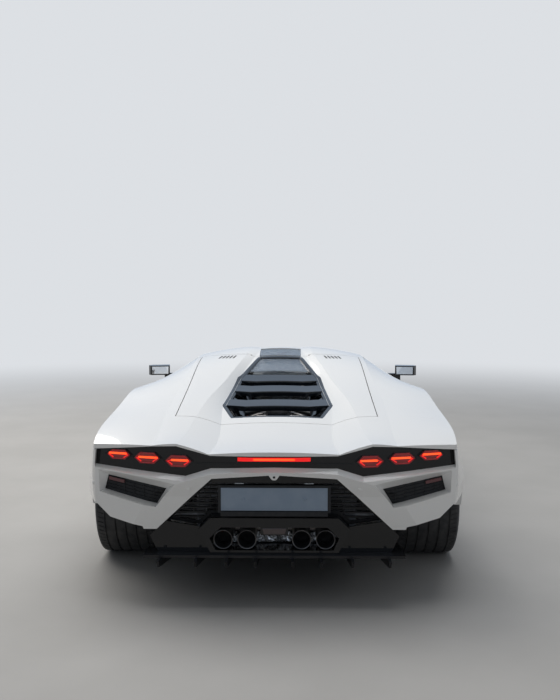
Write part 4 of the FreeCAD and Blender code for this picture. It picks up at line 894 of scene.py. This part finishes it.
def lid_vents():
    skin = skin_of("front_lid", "above")
    panels, slots = shapes(2)
    # The dark panels under the blades are painted shade of the vent openings
    patch(panels, skin, ((1.46, 0.26), (1.66, 0.3), (1.62, 0.46), (1.42, 0.44)), 0.0008, 5)
    for k in range(5):
        x = 1.455 + 0.036 * k
        strip(slots, skin, [(x + 0.004, 0.3), (x - 0.02, 0.432)], 0.012, 0.0085, 0.0004)
    panels.mirror().make("lid_vent_panels", "soot_and_painted_shade", "front_lid")
    slots.mirror().make("lid_vent_blades", "black_gloss", "front_lid", bevel=0.002)


# Profiles of a parking sensor and of a screw's head up to its foot
SENSOR = ((0, 0.0012), (0.0085, 0.001), (0.0105, 0.0002), (0.0112, -0.001))
SCREW = ((0, -0.003), (0.005, -0.003), (0.007, -0.0015))


def fasteners():
    """Small screws and sensors on the nose, tail, splitter and diffuser."""
    sensors, screws = shapes(2)
    for node, view, out, places in (("front_bumper", "ahead", (1, 0.15, 0.1), ((0.25, 0.47), (0.86, 0.44))),
                                    ("rear_bumper", "behind", (-1, 0.15, 0), ((0.42, 0.6), (0.905, 0.6)))):
        for place in places:
            sensors.lathe(SENSOR, lay(skin_of(node, view), *place), out, 24)
    for k in range(7):
        y = 0.1 + 0.12 * k
        x = 2.33 - 0.25 * (y / 0.9) ** 2
        screws.lathe([*SCREW, (0.0075, 0.001)], (x, y, 0.115), (0, 0, 1), 16)
    for x in (-1.6, -1.75, -1.9, -2.05):
        for y in (0.16, 0.305, 0.47):
            z = 0.125 + 0.135 * (-1.495 - x) / 0.735
            screws.lathe([*SCREW, (0.0075, 0.004)], (x, y, z), (0.18, 0, 1), 16)
    sensors.mirror().make("parking_sensors", "paint")
    screws.mirror().make("underbody_screws", "steel")


def sill_blades():
    sections = []
    for k in range(13):
        x = 0.8 - 1.22 * k / 12
        y = 0.958 + 0.01 * math.sin(math.pi * k / 12)
        sections.append([(x, 0.8, 0.112), (x, y, 0.106), (x, y + 0.01, 0.118), (x, y - 0.004, 0.12),
                         (x, 0.8, 0.1155)])
    Shape().rings(sections).mirror().make("sill_blades", "carbon", angle=50)


# For each axle's struts: axle x, foot y, foot z, top y, top z, coil radius, wire radius
STRUTS = ((1.325, 0.765, 0.262, 0.56, 0.61, 0.034, 0.0055),
          (-1.375, 0.735, 0.285, 0.545, 0.65, 0.036, 0.0065))
# Profile of a damper: radius and share of its length
DAMPER = ((0, 0), (0.016, 0), (0.02, 0.02), (0.02, 0.2), (0.0345, 0.21), (0.0345, 0.235), (0.022, 0.24),
          (0.022, 0.55), (0.01, 0.56), (0.01, 0.88), (0.036, 0.89), (0.036, 0.915), (0.018, 0.93), (0.014, 1),
          (0, 1))
COIL_TURNS = 7
COIL_STEPS = 18


def suspension():
    """Coil springs over dampers, and drive shafts."""
    coils, dampers, shafts = shapes(3)
    for x, y0, z0, y1, z1, coil, wire in STRUTS:
        foot = Vector((x, y0, z0))
        span = Vector((x, y1, z1)) - foot
        along = span.normalized()
        across = Vector((1, 0, 0))
        up = along.cross(across)
        path = []
        for k in range(COIL_TURNS * COIL_STEPS + 1):
            t = math.tau * k / COIL_STEPS
            share = 0.22 + 0.68 * k / (COIL_TURNS * COIL_STEPS)
            path.append(foot + span * share + (across * math.cos(t) + up * math.sin(t)) * coil)
        coils.tube(path, wire, 8)
        dampers.lathe([(r, share * span.length) for r, share in DAMPER], foot, along, 28)
    shafts.tube([(-1.375, 0.345, 0.38), (-1.375, 0.53, 0.368), (-1.375, 0.7, 0.358), (-1.375, 0.79, 0.355)],
                [0.04, 0.019, 0.019, 0.044], 24)
    coils.mirror().make("coil_springs", "spring_paint")
    dampers.mirror().make("dampers", "steel", angle=30)
    shafts.mirror().make("drive_shafts", "steel", angle=30)


# Sections of the intake plenum: x, half width, half height
PLENUM = ((-0.885, 0.045, 0.02), (-0.9, 0.075, 0.034), (-1.2, 0.08, 0.036), (-1.48, 0.075, 0.034),
          (-1.495, 0.045, 0.02))


def engine_dress():
    """Heads, plenum, runners and a brace, seen between the louvres."""
    heads, plenum, runners, brace, bolts = shapes(5)
    for k in range(9):
        x = -0.93 - 0.062 * k
        heads.box((x - 0.022, 0.15, 0.742), (x + 0.022, 0.285, 0.756))
    heads.prism([(-0.885, 0.135, 0.716), (-0.885, 0.3, 0.716), (-0.885, 0.285, 0.744), (-0.885, 0.15, 0.744)],
                (-0.62, 0, 0))
    for k in range(6):
        x = -0.945 - 0.098 * k
        runners.tube([(x, 0.185, 0.752), (x, 0.165, 0.775), (x, 0.12, 0.792), (x, 0.07, 0.792)], 0.019, 16)
        bolts.lathe([(0, 0.006), (0.006, 0.006), (0.0075, 0.004), (0.0075, -0.001)],
                    (x + 0.048, 0.272, 0.742), (0, 0, 1), 6)
    plenum.rings([[(x, wide * a, 0.79 + high * b) for a, b in oblong(16, 0.6, 0.6, 0.5)]
                  for x, wide, high in PLENUM])
    for k in range(11):
        x = -0.94 - 0.051 * k
        plenum.box((x - 0.006, -0.06, 0.82), (x + 0.006, 0.06, 0.829))
    for bar in ([(-0.815, 0.44, 0.8), (-1.1, 0.1, 0.842), (-1.16, 0.0, 0.846)],
                [(-1.16, 0.0, 0.846), (-1.4, 0.24, 0.816), (-1.56, 0.42, 0.78)]):
        brace.tube(bar, 0.014, 16)
    heads.mirror().make("engine_heads", "head_red", bevel=0.002)
    runners.mirror().make("intake_runners", "exhaust_steel", slot="cast")
    plenum.make("intake_plenum", "carbon", bevel=0.002)
    brace.mirror().make("engine_brace", "black_plastic")
    bolts.mirror().make("head_bolts", "steel")
    tray = Shape().box((-1.6, -0.46, 0.7), (-0.82, -0.345, 0.712))
    tray.mirror().make("engine_side_trays", "black_plastic", bevel=0.003)


mirrors()
wiper()
headlamps()
door_details()
fuel_lid()
lid_vents()
fasteners()
sill_blades()
suspension()
engine_dress()


# Cabin: bucket seats with padded cushions, belts, dashboard, console, steering wheel and door trim

# Seat's centre line from the front edge up to the head, as x, z, half width and height of the side wings
SEAT_LINE = ((0.372, 0.285, 0.215, 0.04), (0.24, 0.262, 0.232, 0.07), (0.08, 0.24, 0.238, 0.1),
             (-0.06, 0.238, 0.24, 0.12), (-0.15, 0.3, 0.24, 0.13), (-0.205, 0.42, 0.24, 0.14),
             (-0.262, 0.56, 0.238, 0.14), (-0.318, 0.7, 0.228, 0.125), (-0.362, 0.82, 0.18, 0.07),
             (-0.392, 0.905, 0.125, 0.04), (-0.405, 0.948, 0.105, 0.02))
SEAT_Y = 0.375


def seat_frame(t):
    """Place, direction towards the sitter, half width and wing height at a share of the seat's line."""
    last = len(SEAT_LINE) - 1
    t = min(max(t, 0.0), 1.0) * last
    k = min(int(t), last - 1)
    u = t - k
    before, a, b, after = [SEAT_LINE[min(max(k + i, 0), last)] for i in (-1, 0, 1, 2)]
    x, z, wide, wing = [a[i] + (b[i] - a[i]) * u for i in range(4)]
    first = Vector((b[0] - before[0], 0, b[1] - before[1])).normalized()
    second = Vector((after[0] - a[0], 0, after[1] - a[1])).normalized()
    along = first.lerp(second, u).normalized()
    return Vector((x, SEAT_Y, z)), Vector((along.z, 0, -along.x)), wide, wing


def seat_ring(t, loop):
    """A closed loop of (across, towards the sitter) offsets set on the seat's line."""
    place, normal, _, _ = seat_frame(t)
    return [place + Vector((0, v, 0)) + normal * n for v, n in loop]


def pillow(t0, t1, half, thick, base, centre=0.0, steps=9):
    """Sections of a cushion along the seat's line whose ends and sides pull in."""
    rings = []
    for k in range(steps + 1):
        u = k / steps
        swell = max(1 - abs(2 * u - 1) ** 4, 0.0) ** 0.5
        wide, high = half * (0.9 + 0.1 * swell), 0.5 * thick * (0.35 + 0.65 * swell)
        loop = [(centre + wide * a, base + high + high * b) for a, b in oblong(20, 0.55, 0.75)]
        rings.append(seat_ring(t0 + (t1 - t0) * u, loop))
    return rings


def applied(piece):
    """Fixes what the piece's modifiers give as its own mesh."""
    graph = bpy.context.evaluated_depsgraph_get()
    mesh = bpy.data.meshes.new_from_object(piece.evaluated_get(graph))
    piece.modifiers.clear()
    piece.data = mesh
    return mesh


VOXEL = 0.006
PRESSURE = 4.0
CLOTH_FRAMES = 20


def swollen(piece, cap):
    """Fills a cushion: fine even cloth, blown up by a light pressure, each point held to a greatest move."""
    remesh = piece.modifiers.new("remesh", "REMESH")
    remesh.mode = "VOXEL"
    remesh.voxel_size = VOXEL
    piece.modifiers.new("smooth", "SMOOTH").iterations = 6
    mesh = applied(piece)
    rest = [v.co.copy() for v in mesh.vertices]
    cloth = piece.modifiers.new("cloth", "CLOTH").settings
    cloth.quality = 4
    cloth.use_pressure = True
    cloth.uniform_pressure_force = PRESSURE
    cloth.effector_weights.gravity = 0
    cloth.tension_stiffness = 12
    cloth.compression_stiffness = 12
    cloth.bending_stiffness = 0.4
    scene = bpy.context.scene
    for number in range(1, CLOTH_FRAMES + 1):
        scene.frame_set(number)
    mesh = applied(piece)
    for vertex, start in zip(mesh.vertices, rest):
        move = vertex.co - start
        if move.length > cap:
            vertex.co = start + move.normalized() * cap
    scene.frame_set(1)
    return mesh


def channels(mesh, places, reach):
    """Presses sewn channels into a cushion, across it at some shares of the seat's line."""
    normals = [v.normal.copy() for v in mesh.vertices]
    lines = [seat_frame(t)[:2] for t in places]
    for vertex, out in zip(mesh.vertices, normals):
        if abs(vertex.co.y - SEAT_Y) > reach:
            continue
        for place, normal in lines:
            offset = vertex.co - place
            if offset.dot(normal) < 0.02 or out.dot(normal) < 0.2:
                continue
            away = offset.dot(Vector((-normal.z, 0, normal.x))) / CHANNEL_WIDTH
            if abs(away) < 3:
                vertex.co -= out * CHANNEL_DEPTH * math.exp(-away * away)


def finished_pad(piece, twin_name):
    """Shades a cushion smooth, rounds it, and repeats it on the other seat."""
    mesh = piece.data
    mesh.polygons.foreach_set("use_smooth", [True] * len(mesh.polygons))
    twin_mesh = mesh.copy()
    twin_mesh.transform(Matrix.Translation((0, -2 * SEAT_Y, 0)))
    twin = bpy.data.objects.new(twin_name, twin_mesh)
    bpy.context.scene.collection.objects.link(twin)
    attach(twin, "body")
    for pad in (piece, twin):
        round_off(pad, 1)


# name, finish, pillows, greatest swell, fill, shares of the line with a channel and the channels' reach
PADS = (
    ("seat_base", "suede_light", ((0.02, 0.36, 0.165, 0.06, 0.014),), 0.022, 0.7, (0.1, 0.17, 0.24), 0.15),
    ("seat_back", "suede_light", ((0.4, 0.76, 0.16, 0.055, 0.014),), 0.022, 0.7,
     (0.47, 0.53, 0.59, 0.65), 0.145),
    ("seat_bolsters", "leather",
     ((0.03, 0.36, 0.024, 0.1, 0.012, -0.198), (0.4, 0.74, 0.024, 0.13, 0.012, -0.2),
      (0.03, 0.36, 0.024, 0.1, 0.012, 0.198), (0.4, 0.74, 0.024, 0.13, 0.012, 0.2)), 0.012, 0.8, (), 0),
    ("head_pad", "leather", ((0.81, 0.97, 0.088, 0.052, 0.012),), 0.012, 0.8, (), 0),
)
CHANNEL_DEPTH = 0.007
CHANNEL_WIDTH = 0.005


def seat_pads():
    for name, look, pillows, cap, fill, places, reach in PADS:
        shape = Shape()
        for row in pillows:
            shape.rings(pillow(*row))
        pad = shape.make(f"{name}_left", look)
        channels(swollen(pad, cap), places, reach)
        finished_pad(pad, f"{name}_right")


SEAT_STEPS = 40
SHELL_THICK = 0.01


def seat_shells():
    shell, piping, rails = shapes(3)
    rings = []
    edges = {-1: [], 1: []}
    for k in range(SEAT_STEPS + 1):
        place, normal, wide, wing = seat_frame(k / SEAT_STEPS)
        inner = wide - SHELL_THICK
        half = [(0.8 * wide, -0.018), (wide, 0), (wide, wing), (inner, wing), (inner, 0.006),
                (0.76 * wide, -0.006)]
        loop = [(0, -0.022)] + half + [(0, -0.01)] + [(-a, b) for a, b in reversed(half)]
        rings.append(seat_ring(k / SEAT_STEPS, loop))
        for side, edge in edges.items():
            edge.append(place + Vector((0, side * (wide - 0.005), 0)) + normal * (wing + 0.001))
    shell.rings(rings)
    for edge in edges.values():
        piping.tube(edge, 0.0045, 8)
    for y in (0.22, 0.53):
        rails.box((-0.2, y - 0.018, 0.1515), (0.34, y + 0.018, 0.176))
        rails.box((-0.14, y - 0.012, 0.176), (-0.08, y + 0.012, 0.24))
        rails.box((0.22, y - 0.012, 0.176), (0.28, y + 0.012, 0.262))
    shell = shell.mirror().make("seat_shells", "carbon", angle=60)
    piping.mirror().make("seat_piping", "leather")
    rails.mirror().make("seat_rails", "steel", bevel=0.002)
    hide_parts("seats")


def strap(shape, points, across, width, thick=0.0016):
    """A flat strap along a path; across is its width's direction."""
    points = [Vector(p) for p in points]
    across = Vector(across).normalized() * width / 2
    rings = []
    for k, p in enumerate(points):
        normal = heading(points, k).cross(across).normalized() * thick
        rings.append([p - across, p + across, p + across + normal, p - across + normal])
    return shape.rings(rings)


BELT_WIDTH = 0.046


def seat_belts():
    belts, tongues, buckles = shapes(3)
    chest, lap = [], []
    for k in range(13):
        u = k / 12
        place, normal, _, _ = seat_frame(0.74 - 0.34 * u)
        place.y = 0.52 - 0.29 * u
        chest.append(place + normal * (0.078 + 0.02 * math.sin(math.pi * u)))
    place, normal, _, _ = seat_frame(0.335)
    for k in range(9):
        place.y = 0.59 - 0.39 * k / 8
        lap.append(place + normal * (0.06 + 0.05 * math.sin(math.pi * k / 8) ** 0.7))
    strap(belts, chest, (0, 0.9, 0.25), BELT_WIDTH)
    reel = [(-0.52, 0.56, 0.93), (-0.47, 0.555, 0.925), (-0.42, 0.545, 0.905), chest[0]]
    strap(belts, reel, (0, 1, 0), BELT_WIDTH)
    strap(belts, lap, (0.3, 0, 1), BELT_WIDTH)
    buckles.box((-0.13, 0.148, 0.3), (-0.085, 0.172, 0.395))
    buckles.box((-0.125, 0.15, 0.395), (-0.09, 0.17, 0.404))
    tongues.box((-0.122, 0.1555, 0.4), (-0.094, 0.1645, 0.425))
    belts.mirror().make("seat_belts", "belt", angle=60)
    buckles.mirror().make("belt_buckles", "black_plastic", bevel=0.003)
    tongues.mirror().make("belt_tongues", "steel", bevel=0.001)


def rounded_rows(sections, y=0):
    """Skins sections of (x, half width, z low, z high), each a rounded oblong."""
    rings = []
    for x, half, low, high in sections:
        rings.append([(x, y + half * a, 0.5 * (low + high) + 0.5 * (high - low) * b)
                      for a, b in oblong(24, 0.5, 0.5)])
    return Shape().rings(rings)


SCREEN_Y = 0.37
BINNACLE = ((0.64, 0.15, 0.69, 0.8), (0.66, 0.165, 0.68, 0.815), (0.74, 0.165, 0.69, 0.812),
            (0.84, 0.14, 0.7, 0.785), (0.9, 0.09, 0.71, 0.755))
DASH_STITCHES = 90


def dashboard_trim():
    top, face = skin_of("dashboard", "above"), skin_of("dashboard", "behind")
    pad, stitches, screens, vents, trim = shapes(5)
    patch(pad, top, ((0.69, -0.7), (0.69, 0.7), (0.895, 0.64), (0.895, -0.64)), 0.006, 24)
    for k in range(DASH_STITCHES):
        y = -0.69 + 1.38 * k / (DASH_STITCHES - 1)
        stitches.tube([lay(top, 0.7, y + shift, 0.0065) for shift in (-0.0035, 0.0035)], 0.0011, 5)
    screens.plate((0.6385, 0.125, 0.708), (0.6375, 0.115, 0.787), (0.003, 0, 0), SCREEN_Y)
    screens.plate((0.6365, 0.085, 0.575), (0.659, 0.08, 0.69), (0.006, 0, 0))
    for y in (-0.62, -0.3, 0.16, 0.6):
        vents.lathe([(0.046, 0.0), (0.046, 0.008), (0.04, 0.012), (0.036, 0.004), (0.036, -0.002)],
                    lay(face, y, 0.665), (-1, 0, -0.15), 6, closed=True)
        for z in (0.65, 0.665, 0.68):
            x = lay(face, y, z, 0.002).x
            vents.box((x - 0.004, y - 0.03, z - 0.0015), (x + 0.004, y + 0.03, z + 0.0015))
    for line in ([(-0.7, 0.625), (-0.12, 0.62)], [(0.12, 0.62), (0.7, 0.625)]):
        strip(trim, face, line, 0.012, 0.003)
    pad.make("dash_pad", "suede")
    stitches.make("dash_stitching", "stitch")
    rounded_rows(BINNACLE, SCREEN_Y).make("binnacle", "suede")
    screens.make("screens", "screen", bevel=0.0015)
    vents.make("dash_vents", "black_gloss", bevel=0.0006)
    trim.make("dash_trim", "carbon", bevel=0.001)
    dial_marks()


def dial_marks():
    """A rev counter's scale on the driver's screen: plain ticks and a needle."""
    marks = Shape()
    centre = Vector((0.6372, SCREEN_Y, 0.742))
    # angle in degrees, inner and outer radius, half width there; the needle comes last
    rows = [(215 - 250 * k / 24, 0.029 if k % 3 else 0.026, 0.0335, 0.0006, 0.0006) for k in range(25)]
    for degrees, inner, outer, foot, tip in rows + [(160, 0, 0.03, 0.0009, 0.00027)]:
        t = math.radians(degrees)
        out = Vector((0, -math.cos(t), math.sin(t)))
        side = Vector((0, out.z, -out.y))
        a, b = centre + out * inner, centre + out * outer
        marks.prism([a - side * foot, a + side * foot, b + side * tip, b - side * tip], (0.0006, 0, 0))
    marks.make("dial_marks", "glow_white")


CONSOLE = ((-0.44, 0.1, 0.3, 0.47), (-0.42, 0.112, 0.3, 0.48), (-0.1, 0.112, 0.3, 0.49),
           (0.2, 0.112, 0.3, 0.5), (0.45, 0.112, 0.3, 0.545), (0.62, 0.11, 0.32, 0.6),
           (0.66, 0.105, 0.34, 0.6))
ARMREST = ((-0.4, 0.07, 0.474, 0.496), (-0.385, 0.085, 0.47, 0.504), (-0.11, 0.085, 0.474, 0.51),
           (-0.095, 0.07, 0.478, 0.502))


def console():
    switches, start, seams = shapes(3)
    for x in (0.09, 0.14, 0.19):
        switches.box((x - 0.018, -0.032, 0.496), (x + 0.018, 0.032, 0.5075))
    for y in (-0.075, 0.075):
        for x in (0.1, 0.135, 0.17):
            switches.box((x - 0.012, y - 0.011, 0.493), (x + 0.012, y + 0.011, 0.504))
    start.lathe([(0.03, -0.004), (0.03, 0.004), (0.026, 0.006), (0.024, 0.002), (0.0, 0.002)],
                (0.33, 0, 0.522), (-0.16, 0, 1), 6)
    cover = Shape().plate((0.29, 0.026, 0.524), (0.372, 0.026, 0.537), (-0.002, 0, 0.006))
    cover.make("start_cover", "red_plastic", slot="lamp_red", bevel=0.002)
    for y in (-0.06, 0.06):
        for k in range(22):
            x, z = -0.38 + 0.012 * k, 0.5055 + 0.00001 * k
            seams.tube([(x, y, z), (x + 0.007, y, z + 0.0001)], 0.001, 5)
    rounded_rows(CONSOLE).make("console", "leather")
    rounded_rows(ARMREST).make("armrest", "suede")
    switches.make("console_switches", "black_gloss", bevel=0.002)
    start.make("start_surround", "cut_face", slot="steel", bevel=0.001)
    seams.make("console_stitching", "stitch")


WHEEL_CENTRE = Vector((0.455, 0.37, 0.7))
COLUMN_TILT = math.radians(22)
WHEEL_AXIS = Vector((-math.cos(COLUMN_TILT), 0, math.sin(COLUMN_TILT)))
WHEEL_HIGH = Vector((math.sin(COLUMN_TILT), 0, math.cos(COLUMN_TILT)))
RIM_RADIUS = 0.178
SEAM_RADIUS = 0.1625
PAD_OUTLINE = ((-0.062, 0.03), (-0.035, 0.05), (0.035, 0.05), (0.062, 0.03), (0.05, -0.035), (0.022, -0.062),
               (-0.022, -0.062), (-0.05, -0.035))
PADDLE = ((0.08, -0.07), (0.15, -0.02), (0.15, 0.085), (0.12, 0.1), (0.085, 0.03))


def wheel_place(across, up, out):
    """A place on the steering wheel: to its left, up in its plane and out towards the driver."""
    return WHEEL_CENTRE + Vector((0, across, 0)) + WHEEL_HIGH * up + WHEEL_AXIS * out


def on_rim(t, radius=RIM_RADIUS, out=0):
    return wheel_place(radius * math.cos(t), radius * math.sin(t), out)


def steering_wheel_trim():
    pad, grips, paddles, buttons, mark, stitches = shapes(6)
    pad.rings([[wheel_place(share * a, share * b, out) for a, b in PAD_OUTLINE]
               for share, out in ((1, -0.006), (1, 0.006), (0.86, 0.014))])
    for start, end in ((-35, 35), (145, 215)):
        path = [on_rim(math.radians(start + (end - start) * k / 14)) for k in range(15)]
        grips.tube(path, [0.0155] + [0.0175] * 13 + [0.0155], 20)
    for k in range(70):
        t = math.tau * k / 70
        stitches.tube([on_rim(t, SEAM_RADIUS, 0.0015), on_rim(t + 0.04, SEAM_RADIUS, -0.0015)], 0.001, 5)
    for side in (-1, 1):
        paddles.prism([wheel_place(side * a, b, -0.03) for a, b in PADDLE], WHEEL_AXIS * 0.004)
        for up in (0.012, -0.012):
            buttons.lathe([(0, 0.003), (0.007, 0.0025), (0.008, -0.004)],
                          wheel_place(side * 0.095, up, -0.003), WHEEL_AXIS, 16)
    mark.tube([on_rim(math.radians(t)) for t in (86, 90, 94)], 0.0158, 20)
    body = "steering_wheel"
    pad.make("wheel_pad", "leather", body, bevel=0.004, rounds=1)
    grips.make("wheel_grips", "suede", body)
    stitches.make("wheel_stitching", "stitch", body)
    paddles.make("shift_paddles", "carbon", bevel=0.0015)
    buttons.make("wheel_buttons", "steel", body)
    mark.make("wheel_mark", "red_plastic", body)


# Plan of a floor mat as (x, y)
MAT = ((0.34, 0.14), (0.34, 0.62), (0.88, 0.545), (0.88, 0.14))


def pedals_and_mats():
    pedals, pads, mats, edges = shapes(4)
    for y, wide in ((0.33, 0.07), (0.43, 0.052)):
        pedals.tube([(0.995, y, 0.43), (0.955, y, 0.33), (0.925, y, 0.255)], 0.008, 10)
        pads.plate((0.915, wide / 2, 0.215), (0.938, wide / 2, 0.3), (0.007, 0, 0), y)
        for k in range(4):
            x, z = 0.91 + 0.27 * (0.013 + 0.018 * k), 0.228 + 0.018 * k
            pads.box((x, y - 0.4 * wide, z), (x + 0.008, y + 0.4 * wide, z + 0.006))
    pads.plate((0.93, 0.0275, 0.175), (0.96, 0.0275, 0.3), (0.008, 0, 0), 0.5425)
    mats.prism([(x, y, 0.1515) for x, y in MAT], (0, 0, 0.009))
    edges.tube([(x, y, 0.16) for x, y in MAT], 0.004, 8, loop=True)
    pedals.make("pedal_arms", "black_plastic")
    pads.make("pedal_pads", "steel", bevel=0.001)
    mats.mirror().make("floor_mats", "carpet", bevel=0.002)
    edges.mirror().make("mat_edges", "leather")


DOOR_PANEL = ((-0.42, 0.27), (0.8, 0.27), (0.845, 0.5), (0.845, 0.74), (-0.56, 0.74), (-0.54, 0.64))
DOOR_UPPER = ((-0.5, 0.6), (0.8, 0.6), (0.8, 0.725), (-0.52, 0.725))
DOOR_ARMREST = ((-0.3, 0.43), (0.3, 0.45), (0.3, 0.5), (-0.3, 0.48))
DOOR_PULL = ((0.4, 0.788, 0.5), (0.44, 0.772, 0.515), (0.5, 0.768, 0.53), (0.56, 0.772, 0.545),
             (0.6, 0.788, 0.56))
SPEAKER = (0.62, 0.7922, 0.38)
SPEAKER_PITCH = 0.012


def door_trim():
    """Inner door panels: a padded upper, an armrest, a pull strap and a speaker grille."""
    panel, pull, grille, arm, stitches = shapes(5)
    panel.prism([(x, 0.7985, z) for x, z in DOOR_PANEL], (0, -0.0065, 0))
    arm.prism([(x, 0.792, z) for x, z in DOOR_UPPER], (0, -0.012, 0))
    arm.prism([(x, 0.792, z) for x, z in DOOR_ARMREST], (0, -0.052, 0))
    strap(pull, DOOR_PULL, (0, 0, 1), 0.026, 0.003)
    x, y, z = SPEAKER
    for row in range(-4, 5):
        for column in range(-4, 5):
            a, b = column * SPEAKER_PITCH, row * SPEAKER_PITCH
            if math.hypot(a, b) < 0.05:
                dot = [(0, 0.0012), (0.0034, 0.0012), (0.004, 0.0002)]
                grille.lathe(dot, (x + a, y, z + b), (0, -1, 0), 6)
    ring = [(0.062, -0.001), (0.062, 0.003), (0.057, 0.003), (0.056, -0.001)]
    grille.lathe(ring, (x, y + 0.0003, z), (0, -1, 0), 48, closed=True)
    for k in range(85):
        x = -0.48 + 0.015 * k
        stitches.tube([(x, 0.7795, 0.612), (x + 0.008, 0.7795, 0.612)], 0.0011, 5)
    panel.pair("door_panel", "leather", bevel=0.003)
    arm.pair("door_armrest", "suede", bevel=0.005)
    pull.pair("door_pull", "red_plastic")
    grille.pair("speaker_grille", "black_plastic")
    stitches.pair("door_stitching", "stitch")


def rear_wall():
    """Padded panels on the wall behind the seats."""
    panels = Shape()
    for y in (SEAT_Y, -SEAT_Y):
        panels.plate((-0.774, 0.3, 0.33), (-0.774, 0.27, 0.8), (0.01, 0, 0), y)
    panels.make("rear_wall_panels", "suede", bevel=0.004)


seat_pads()
seat_shells()
seat_belts()
dashboard_trim()
console()
steering_wheel_trim()
pedals_and_mats()
door_trim()
rear_wall()


# Studio: the photo's camera, a pale floor and soft lamps

FRAME_WIDTH = 560
FOCAL_PIXELS = 846
SENSOR = 36.0
CAMERA_PLACE = (-6.41, -0.0906, 1.565)
CAMERA_PITCH = 4.06
CAMERA_YAW = 0.88
BACKDROP = (0.9, 0.93, 0.97)
BACKDROP_STRENGTH = 0.8
SOFT_LIGHT = 0.27
REFLECTED_SKY = 0.66
SKY_BLUE = (0.66, 0.8, 1.0)
SUN_WARMTH = (1.0, 0.95, 0.88)
FLOOR = (0.38, 0.375, 0.365)
FLOOR_RINGS = (3.0, 6.0, 12.0, 25.0, 60.0, 150.0)
FLOOR_SIDES = 64
FLOOR_FADE = (3.0, 13.0)
# Lamps: name, place, aim, width, height, watts and colour
LAMPS_OF_STUDIO = (
    ("key", (3.0, 4.5, 7.5), (-0.6, 0, 0.6), 8.0, 7.0, 560, SUN_WARMTH),
    ("top", (-0.5, -0.5, 7.0), (-0.4, 0, 0.5), 6.0, 5.0, 260, (1, 1, 1)),
    ("fill", (-6.5, -4.5, 3.5), (-1.5, 0, 0.6), 4.0, 3.0, 16, (1, 1, 1)),
    ("rim", (6.0, 7.0, 4.6), (0.5, 0, 0.6), 5.0, 5.0, 60, (1, 1, 1)),
)


def place_new(name, data, place=(0, 0, 0)):
    """A new object of the scene."""
    new = bpy.data.objects.new(name, data)
    new.location = place
    bpy.context.scene.collection.objects.link(new)
    return new


def stage_floor():
    """A wide pale floor that turns into the backdrop's own colour far from the car."""
    turns = [turned(math.tau * k / FLOOR_SIDES) for k in range(FLOOR_SIDES)]
    disc = Shape().rings([[(r * out.x, r * out.z, 0) for out in turns] for r in FLOOR_RINGS], caps=False)
    mesh = bpy.data.meshes.new("floor_stage")
    mesh.from_pydata([tuple(v) for v in disc.verts], [], [list(range(FLOOR_SIDES))] + disc.faces)
    material = finish("floor_pale", FLOOR, 0.8, 0, ((0.365, 0.36, 0.35), (0.395, 0.39, 0.38), 1.5, 6), None,
                      (220, 0.1, 0.001))
    far = add(material, "ShaderNodeEmission", Strength=BACKDROP_STRENGTH, Color=(*BACKDROP, 1))
    distance = add(material, "ShaderNodeVectorMath", operation="LENGTH")
    fade = add(material, "ShaderNodeMapRange", interpolation_type="SMOOTHSTEP", From_Min=FLOOR_FADE[0],
               From_Max=FLOOR_FADE[1])
    mix = add(material, "ShaderNodeMixShader")
    join(material, add(material, "ShaderNodeTexCoord"), "Object", distance, 0)
    join(material, distance, "Value", fade, "Value")
    join(material, fade, "Result", mix, 0)
    join(material, shader_of(material), "BSDF", mix, 1)
    join(material, far, "Emission", mix, 2)
    join(material, mix, "Shader", material.node_tree.nodes["Material Output"], "Surface")
    mesh.materials.append(material)
    return place_new("floor_stage", mesh)


def sky():
    """The backdrop as the camera sees it, a dimmer soft light on the car, and a blue sky that it mirrors."""
    world = bpy.data.worlds.new("studio")
    bpy.context.scene.world = world
    world.use_nodes = True
    background = world.node_tree.nodes["Background"]
    path = add(world, "ShaderNodeLightPath")
    seen = add(world, "ShaderNodeMath", operation="MAXIMUM")
    direct = add(world, "ShaderNodeMapRange", To_Min=SOFT_LIGHT, To_Max=BACKDROP_STRENGTH)
    glossy = add(world, "ShaderNodeMapRange", To_Min=0, To_Max=REFLECTED_SKY - SOFT_LIGHT)
    total = add(world, "ShaderNodeMath")
    colour = add(world, "ShaderNodeMix", data_type="RGBA", A=(*BACKDROP, 1), B=(*SKY_BLUE, 1))
    join(world, path, "Is Camera Ray", seen, 0)
    join(world, path, "Is Transmission Ray", seen, 1)
    join(world, seen, 0, direct, "Value")
    join(world, path, "Is Glossy Ray", glossy, "Value")
    join(world, direct, "Result", total, 0)
    join(world, glossy, "Result", total, 1)
    join(world, total, 0, background, "Strength")
    join(world, path, "Is Glossy Ray", colour, "Factor")
    join(world, colour, "Result", background, "Color")


def studio():
    lens_data = bpy.data.cameras.new("camera")
    lens_data.sensor_fit = "HORIZONTAL"
    lens_data.sensor_width = SENSOR
    lens_data.lens = FOCAL_PIXELS * SENSOR / FRAME_WIDTH
    camera = place_new("camera", lens_data, CAMERA_PLACE)
    camera.rotation_euler = (math.radians(90 - CAMERA_PITCH), 0, math.radians(CAMERA_YAW - 90))
    bpy.context.scene.camera = camera
    stage_floor()
    sky()
    for name, place, aim, width, height, watts, colour in LAMPS_OF_STUDIO:
        data = bpy.data.lights.new(name, "AREA")
        data.shape = "RECTANGLE"
        data.size = width
        data.size_y = height
        data.energy = watts
        data.color = colour
        lamp = place_new(name, data, place)
        lamp.rotation_euler = (Vector(aim) - Vector(place)).to_track_quat("-Z", "Y").to_euler()
    bpy.context.scene.view_settings.view_transform = "Standard"


studio()
